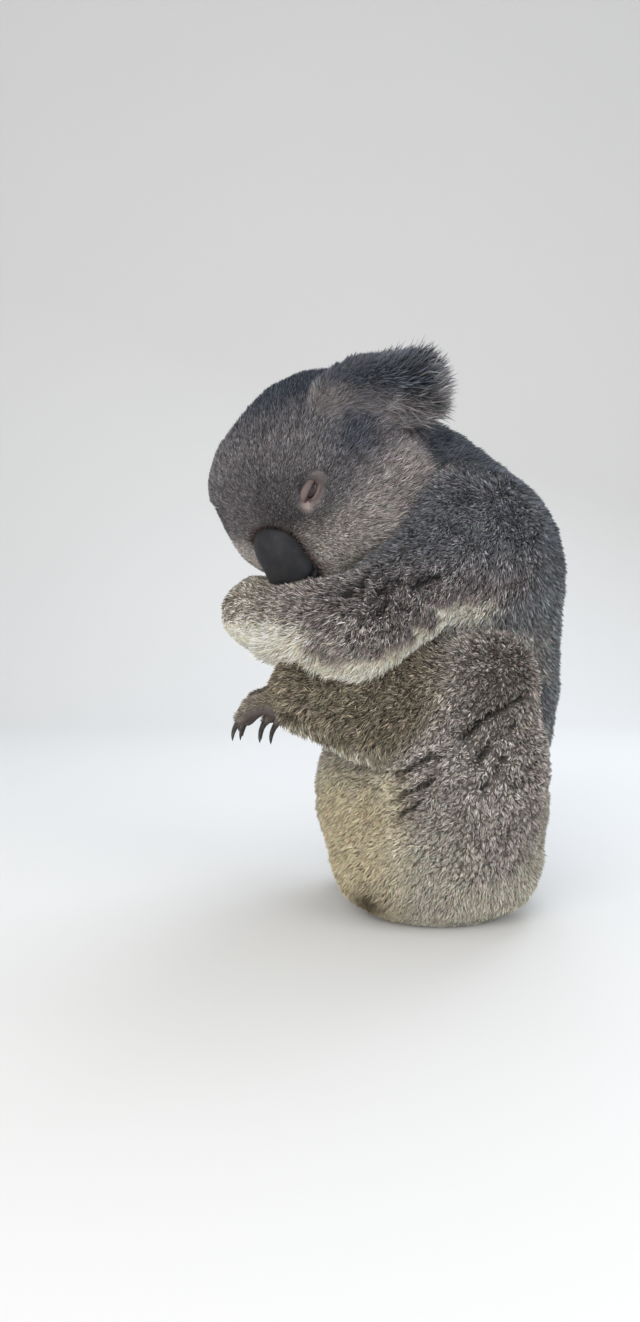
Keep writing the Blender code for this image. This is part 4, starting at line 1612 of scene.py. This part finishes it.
    def tinted(self, colour: Array, speckle: Array, clump: Array, rng: Rng) -> Array:
        """Salt-and-pepper colours for every vertex of every tuft, darkened at the root as painted shade and
        brightened at most tips, partly as pale hair bands and partly as painted light.

        Args:
            colour: The marking at each root.
            speckle: How strongly hairs differ there.
            clump: Clump number of each tuft.
            rng: Seeded random numbers.

        Returns:
            Colours for four vertices a tuft: root, two at the middle, and tip.
        """
        count = len(colour)
        lock = rng.normal(0.0, 0.32, clump.max() + 1)[clump]
        spread = np.clip(rng.normal(0.0, 0.85, count) + lock, -2.0, 2.0)
        own = colour * np.exp(spread * speckle)[:, None] * (1.0 + 0.05 * rng.normal(size=(count, 3)))
        dark_tip = rng.random(count) < 0.22
        tip = np.where(dark_tip, 0.45, 1.35)
        # painted shade and light: roots at 0.30 stand for the shade deep in the coat; bright tips are partly
        # the hair's pale bands and partly painted light, dark tips are the hair's dark bands
        root_shade_tip_light = np.stack([np.full(count, 0.30), np.full(count, 0.85), np.full(count, 0.85), tip], axis=1)
        return np.clip(own[:, None, :] * root_shade_tip_light[:, :, None], 0.0, 0.92).reshape(-1, 3)

    def bake_map(self, obj: bpy.types.Object, root: Array, normal: Array) -> None:
        """Give each tuft a small patch at its root's place on a box unwrap of the skin.

        Args:
            obj: The piece.
            root: Roots of the tufts.
            normal: Skin normals at the roots.
        """
        axis = np.abs(normal).argmax(axis=1)
        tile = axis * 2 + (np.take_along_axis(normal, axis[:, None], 1)[:, 0] > 0)
        low, high = root.min(axis=0), root.max(axis=0)
        scaled = (root - low) / (high - low)
        first, second = (np.take_along_axis(scaled, ((axis + k) % 3)[:, None], 1)[:, 0] for k in (1, 2))
        room = 1.0 - 2.0 * self.patch * 3.0
        u = (tile % 3 + self.patch * 3.0 + first * room) / 3.0
        v = (tile // 3 + self.patch * 2.0 + second * (1.0 - 4.0 * self.patch)) / 2.0
        shape = np.array([(0.5, 0.0), (0.1, 0.45), (0.9, 0.45), (0.5, 1.0)]) - 0.5
        corners = np.stack([u, v], axis=1)[:, None, :] + shape[None] * self.patch
        index = np.empty(len(obj.data.loops), dtype=np.int32)
        obj.data.loops.foreach_get("vertex_index", index)
        flat = corners.reshape(-1, 2)[index].astype(np.float32)
        obj.data.uv_layers.new(name="OFBake").data.foreach_set("uv", flat.ravel())


# -------------------------------------------------------- nose, eyes and claws
@dataclass
class NoseLeather:
    """The bare nose with its two comma-shaped nostrils."""

    head: Head
    step: float = 0.0009
    reach: float = 0.045      # half the box that it is meshed in

    def shape(self, p: Array) -> Array:
        """Nose field with nostrils and a faint groove between them."""
        q = self.head.local(p)
        base = self.head.nose(p) - 0.0006
        for s in SIGNS:
            outer, bend, top = (
                np.array(place) * (1.0, s, 1.0)
                for place in ((0.0905, 0.0125, -0.0400), (0.0800, 0.0215, -0.0365), (0.0760, 0.0240, -0.0300))
            )
            base = carve(base, limb(q, outer, bend, 0.0026, 0.0020), 0.0018)
            base = carve(base, limb(q, bend, top, 0.0014, 0.0006), 0.0014)
        groove = limb(q, np.array((0.097, 0.0, -0.032)), np.array((0.093, 0.0, -0.054)), 0.0014, 0.0014)
        return carve(base, groove, 0.002)

    def build(self) -> bpy.types.Object:
        """Mesh the nose."""
        low = self.head.world((0.076, 0.0, -0.020)) - self.reach
        axes = [np.arange(a, a + 2.0 * self.reach, self.step) for a in low]
        grid = np.stack(np.meshgrid(*axes, indexing="ij"), axis=-1)
        net = surface_net(self.shape(grid), low, self.step)
        return mesh_object("nose_leather", *smoothed(*largest_shell(*net)))


@dataclass
class Eyelids:
    """Naked, nearly closed lids: a low oval mound parted by a slit over the eyeball."""

    head: Head
    markings: Markings
    step: float = 0.0006
    mound: tuple = (0.0155, 0.0086, 0.0070)
    slit_half: float = 0.0120      # from the middle of the slit to its end
    slit_open: float = 0.0025      # half its width

    def out(self, a: Array, b: Array) -> Array:
        """How far out on the mound a place lies: 1 at its edge."""
        return np.hypot(a / self.mound[0], b / self.mound[1])

    def shape(self, a: Array, b: Array, c: Array) -> Array:
        """Field of one eye's lids.

        Args:
            a: Places along the slit, towards its outer end.
            b: Places across it, towards the brow.
            c: Places outwards, from the middle of the eyeball.

        Returns:
            Field values, negative inside.
        """
        mound = ellipsoid(np.stack([a, b, c], axis=-1), (0.0, 0.0, 0.0030), self.mound)
        out = self.out(a, b)
        mound = mound + 0.0005 * np.exp(-(((out - 0.60) / 0.05) ** 2)) * (b > 0.0)
        mound = mound + 0.0004 * np.exp(-(((out - 0.76) / 0.05) ** 2)) * (b < 0.0)
        sag = -0.0007 * (1.0 - (a / self.slit_half) ** 2)
        places = np.stack([a, b - sag, c], axis=-1)
        slit = ellipsoid(places, (0.0, 0.0, 0.0105), (self.slit_half, self.slit_open, 0.0050))
        return carve(mound, slit, 0.0007)

    def build(self, side: str) -> bpy.types.Object:
        """Mesh and paint the lids of one eye.

        Args:
            side: "l" or "r".

        Returns:
            The lids.
        """
        sign = -MIRROR[side]
        low, high = (-0.0170, -0.0125, -0.0060), (0.0170, 0.0125, 0.0115)
        a, b, c = np.meshgrid(*(np.arange(x, y, self.step) for x, y in zip(low, high)), indexing="ij")
        vertices, quads = surface_net(self.shape(a, b * sign, c), np.array(low), self.step)
        for _ in range(2):
            vertices = relaxed(vertices + (0.0, 0.0, 1.0), quads) - (0.0, 0.0, 1.0)
        a, b = vertices[:, 0], vertices[:, 1] * sign
        local = np.array(self.head.by_eye(sign)) + vertices @ self.head.lid_frame(sign)
        obj = mesh_object(f"lids_{side}", self.head.world(local), quads)
        tones = self.markings.palette
        # painted shade: the lids are darkened along the slit, where it falls into shade
        edge = np.exp(-((b / 0.0032) ** 2)) * ramp(1.15, 0.90, np.abs(a) / self.slit_half)
        rim = ramp(0.70, 1.0, self.out(a, b))
        paint(obj, "Coat", self.markings.mix(tones.lid, (tones.crease_shade, edge), (tones.lid_rim, rim)))
        return obj


@dataclass
class Claws:
    """Curved horn claws, swept by one node tree along the arcs of all digits."""

    anatomy: Anatomy
    length: float = 0.0170
    radius: float = 0.0026
    sweep: float = math.radians(62.0)
    steps: int = 9

    def arcs(self) -> dict[str, list[Array]]:
        """Points along each claw, by the name of the solid that it stands for."""
        result = {}
        bend = self.length / self.sweep
        for side in MIRROR:
            for kind, chosen in (("hand", range(5)), ("foot", CLAWED_TOES)):
                paw = self.anatomy.paw(kind, side)
                for i in chosen:
                    digit = paw.digits[i]
                    middle, tip = np.array(digit.middle) * paw.flip, np.array(digit.tip) * paw.flip
                    local = unit(tip - middle)
                    forward = local @ paw.axes
                    down = np.array((-0.35, 0.0, -1.0)) @ paw.axes
                    down = unit(down - forward * (down @ forward))
                    start = paw.origin + (tip + local * digit.radius * 0.35) @ paw.axes
                    result[f"claw_{kind}_{side}_{i + 1}"] = [
                        start + forward * bend * math.sin(a) + down * bend * (1.0 - math.cos(a))
                        for a in np.linspace(-0.12 * self.sweep, self.sweep, self.steps)
                    ]
        return result

    def tree(self, finish: bpy.types.Material) -> bpy.types.NodeTree:
        """Node tree that turns a wire into a tapering closed claw.

        Args:
            finish: The claws' material.

        Returns:
            The tree, whose Root Radius input is the claw's radius at its root.
        """
        tree = bpy.data.node_groups.new("claw_sweep", "GeometryNodeTree")
        tree.interface.new_socket("Geometry", in_out="INPUT", socket_type="NodeSocketGeometry")
        tree.interface.new_socket("Root Radius", in_out="INPUT", socket_type="NodeSocketFloat")
        tree.interface.new_socket("Geometry", in_out="OUTPUT", socket_type="NodeSocketGeometry")
        node = tree.nodes.new
        start, end, scaled = node("NodeGroupInput"), node("NodeGroupOutput"), node("ShaderNodeMath")
        wire, factor, radius, profile, sweep, smooth, real, dress = (
            node(f"GeometryNode{kind}")
            for kind in (
                "MeshToCurve", "SplineParameter", "SetCurveRadius", "CurvePrimitiveCircle",
                "CurveToMesh", "SetShadeSmooth", "RealizeInstances", "SetMaterial",
            )
        )
        taper = node("ShaderNodeFloatCurve")
        points = taper.mapping.curves[0].points
        points[0].location, points[1].location = (0.0, 1.0), (1.0, 0.03)
        points.new(0.65, 0.62)
        taper.mapping.update()
        scaled.operation = "MULTIPLY"
        profile.inputs["Resolution"].default_value = 12
        profile.inputs["Radius"].default_value = 1.0
        sweep.inputs["Fill Caps"].default_value = True
        dress.inputs["Material"].default_value = finish
        links = [
            (start, "Geometry", wire, "Mesh"),
            (wire, "Curve", radius, "Curve"),
            (factor, "Factor", taper, "Value"),
            (taper, "Value", scaled, 0),
            (start, "Root Radius", scaled, 1),
            (scaled, "Value", radius, "Radius"),
            (radius, "Curve", sweep, "Curve"),
            (profile, "Curve", sweep, "Profile Curve"),
            (sweep, "Mesh", smooth, "Geometry"),
            (smooth, "Geometry", real, "Geometry"),
            (real, "Geometry", dress, "Geometry"),
            (dress, "Geometry", end, "Geometry"),
        ]
        if "Scale" in sweep.inputs:
            links.append((scaled, "Value", sweep, "Scale"))
        for giver, output, taker, socket in links:
            tree.links.new(giver.outputs[output], taker.inputs[socket])
        return tree

    def build(self, finish: bpy.types.Material) -> tuple[bpy.types.Object, list[str]]:
        """Sweep all claws into one piece.

        Args:
            finish: Their horn material.

        Returns:
            The piece and the names of the solids that it stands for.
        """
        arcs = self.arcs()
        mesh = bpy.data.meshes.new("claw_wires")
        points = [tuple(p) for arc in arcs.values() for p in arc]
        starts = [a * self.steps + k for a in range(len(arcs)) for k in range(self.steps - 1)]
        edges = [(k, k + 1) for k in starts]
        mesh.from_pydata(points, edges, [])
        wires = bpy.data.objects.new("claws", mesh)
        bpy.context.scene.collection.objects.link(wires)
        modifier = wires.modifiers.new("sweep", "NODES")
        modifier.node_group = self.tree(finish)
        for item in modifier.node_group.interface.items_tree:
            if item.in_out == "INPUT" and item.name == "Root Radius":
                modifier[item.identifier] = self.radius
        return realized(wires), list(arcs)


def realized(obj: bpy.types.Object) -> bpy.types.Object:
    """Replace an object's mesh by its evaluated one and drop its modifiers."""
    graph = bpy.context.evaluated_depsgraph_get()
    mesh = bpy.data.meshes.new_from_object(obj.evaluated_get(graph))
    obj.modifiers.clear()
    obj.data = mesh
    mesh.name = obj.name
    return obj


# -------------------------------------------------------------------- studio
@dataclass(frozen=True)
class Studio:
    """Plain pale floor and cove, soft lights and the camera."""

    tone: Tone = Tone(0.74, 0.73, 0.71)
    camera_at: tuple = (-0.067, -0.80, 0.244)
    camera_pitch: float = 87.0
    lens: float = 26.0
    sensor: float = 36.0

    def floor(self) -> None:
        """Floor that curves up into a wall behind."""
        turns = np.linspace(0.1, math.pi / 2, 12)
        cove = [(1.2 + 0.9 * math.sin(a), 0.9 - 0.9 * math.cos(a)) for a in turns]
        profile = [(-3.0, 0.0), (1.2, 0.0), *cove, (2.1, 4.0)]
        vertices = np.array([(x, y, z) for x in (-4.0, 4.0) for y, z in profile])
        n = len(profile)
        quads = np.array([(k, k + n, k + n + 1, k + 1) for k in range(n - 1)])
        obj = mesh_object("studio_floor", vertices, quads)
        graph = Graph("studio_paper")
        tones = (Tone(*(self.tone.array() * 0.985)), self.tone)
        colour = graph.drift(graph.noise(3.0), tones, (0.0, 1.0))
        paper = graph.finished(Base_Color=colour, Roughness=0.9, Specular_IOR_Level=0.1)
        obj.data.materials.append(paper)
        obj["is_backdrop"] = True

    def area_light(self, name: str, place: tuple, size: float, power: float, colour: tuple) -> None:
        """One soft square light turned to the animal."""
        light = bpy.data.lights.new(name, "AREA")
        light.size, light.energy, light.color = size, power, colour
        obj = bpy.data.objects.new(name, light)
        obj.location = place
        aim = Vector((-0.01, -0.02, 0.2)) - Vector(place)
        obj.rotation_euler = aim.to_track_quat("-Z", "Y").to_euler()
        bpy.context.scene.collection.objects.link(obj)

    def build(self) -> None:
        """Set floor, world, lights and camera."""
        self.floor()
        scene = bpy.context.scene
        world = bpy.data.worlds.new("studio_world")
        world.use_nodes = True
        background = world.node_tree.nodes["Background"]
        background.inputs["Color"].default_value = (0.93, 0.96, 1.0, 1.0)
        background.inputs["Strength"].default_value = 0.72
        scene.world = world
        self.area_light("key", (-0.7, -1.7, 0.95), 1.4, 27.0, (1.0, 0.97, 0.93))
        self.area_light("fill", (1.3, -1.0, 0.5), 1.4, 12.0, (0.92, 0.96, 1.0))
        self.area_light("rim", (0.5, 0.9, 1.5), 1.2, 17.0, (0.78, 0.87, 1.0))
        data = bpy.data.cameras.new("view")
        data.lens, data.sensor_width, data.sensor_fit = self.lens, self.sensor, "AUTO"
        camera = bpy.data.objects.new("view", data)
        camera.location = self.camera_at
        camera.rotation_euler = (math.radians(self.camera_pitch), 0.0, 0.0)
        scene.collection.objects.link(camera)
        scene.camera = camera
        scene.view_settings.view_transform = "Standard"


# -------------------------------------------------------------------- assembly
def settle(obj: bpy.types.Object, replaced: Iterable[str] = ()) -> None:
    """Ride a piece on the body and the solids that it stands for."""
    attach(obj, "root")
    if replaced:
        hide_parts(*replaced)


def eyeball(name: str, centre: Array, radius: float) -> bpy.types.Object:
    """A smooth round eyeball."""
    rings, spokes = 20, 32
    polar = np.linspace(0.0, math.pi, rings + 1)[1:-1]
    around = np.linspace(0.0, 2.0 * math.pi, spokes, endpoint=False)
    body = [
        (math.sin(a) * math.cos(b), math.sin(a) * math.sin(b), math.cos(a)) for a in polar for b in around
    ]
    points = np.array([(0.0, 0.0, 1.0), *body, (0.0, 0.0, -1.0)]) * radius + centre
    last = len(points) - 1
    faces = [(0, 1 + k, 1 + (k + 1) % spokes) for k in range(spokes)]
    for i in range(rings - 2):
        for k in range(spokes):
            a, b = 1 + i * spokes + k, 1 + i * spokes + (k + 1) % spokes
            faces += [(a, a + spokes, b + spokes), (a, b + spokes, b)]
    faces += [(last, last - spokes + (k + 1) % spokes, last - spokes + k) for k in range(spokes)]
    return mesh_object(name, points, np.array(faces))


def main() -> None:
    """Build every piece of the koala around the frame."""
    logging.basicConfig(level=logging.INFO, format="%(name)s: %(message)s")
    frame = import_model()
    cad_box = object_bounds()
    nodes = set(frame["nodes"])
    Studio().build()

    anatomy = Anatomy()
    markings = Markings(anatomy)
    net = Skin(anatomy, markings).net()
    growth = Groom(anatomy, markings).grown(net)
    hide = mesh_object("skin", net.vertices, net.quads)
    # painted shade: haired skin is darkened to 0.42 of the coat's colour as the shade deep between the tufts,
    # and darkened further near the nose as a painted shade line round its edge
    rim = ramp(0.0030, 0.0008, anatomy.head.nose(net.vertices))
    paint(hide, "Coat", growth.colour * ((0.42 + 0.58 * growth.bare) * (1.0 - 0.9 * rim))[:, None])
    under = SkinFinish("skin_under_coat").material()
    hide.data.materials.append(under)
    bare = {n for n in nodes if n.startswith(("claw_", "eye_")) or n == "nose"}
    settle(hide, sorted(nodes - bare))
    LOG.info("skin: %d vertices, %d quads", len(net.vertices), len(net.quads))

    finish = CoatFinish("coat_hair").material()
    for piece in Coat(net, growth, finish, thin=1.0).plant():
        settle(piece)

    nose = NoseLeather(anatomy.head).build()
    dark, light = Tone(0.014, 0.015, 0.018), Tone(0.028, 0.026, 0.027)
    nose.data.materials.append(LeatherFinish("nose_hide", dark, light, 0.56, 1100.0, 0.0004).material())
    settle(nose, ["nose"])
    LOG.info("nose: %d quads", len(nose.data.polygons))

    wet = GlossFinish("eye_wet", Tone(0.010, 0.006, 0.005), Tone(0.022, 0.012, 0.009), 0.10).material()
    for side, mirror in MIRROR.items():
        centre = anatomy.head.world(anatomy.head.by_eye(-mirror))
        ball = eyeball(f"eyeball_{side}", centre, anatomy.head.eye_radius)
        ball.data.materials.append(wet)
        settle(ball, [f"eye_{side}"])
        lids = Eyelids(anatomy.head, markings).build(side)
        lids.data.materials.append(under)
        settle(lids)
        LOG.info("eye %s with its lids: %d quads", side, len(lids.data.polygons))

    dark, light = Tone(0.022, 0.019, 0.017), Tone(0.075, 0.062, 0.050)
    horn = GlossFinish("claw_horn", dark, light, 0.32, 420.0).material()
    claws, stood_for = Claws(anatomy).build(horn)
    settle(claws, stood_for)
    LOG.info("claws: %d", len(stood_for))

    sizes = [list(map(float, corner)) for corner in (*cad_box, *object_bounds())]


if __name__ == "__main__":
    main()
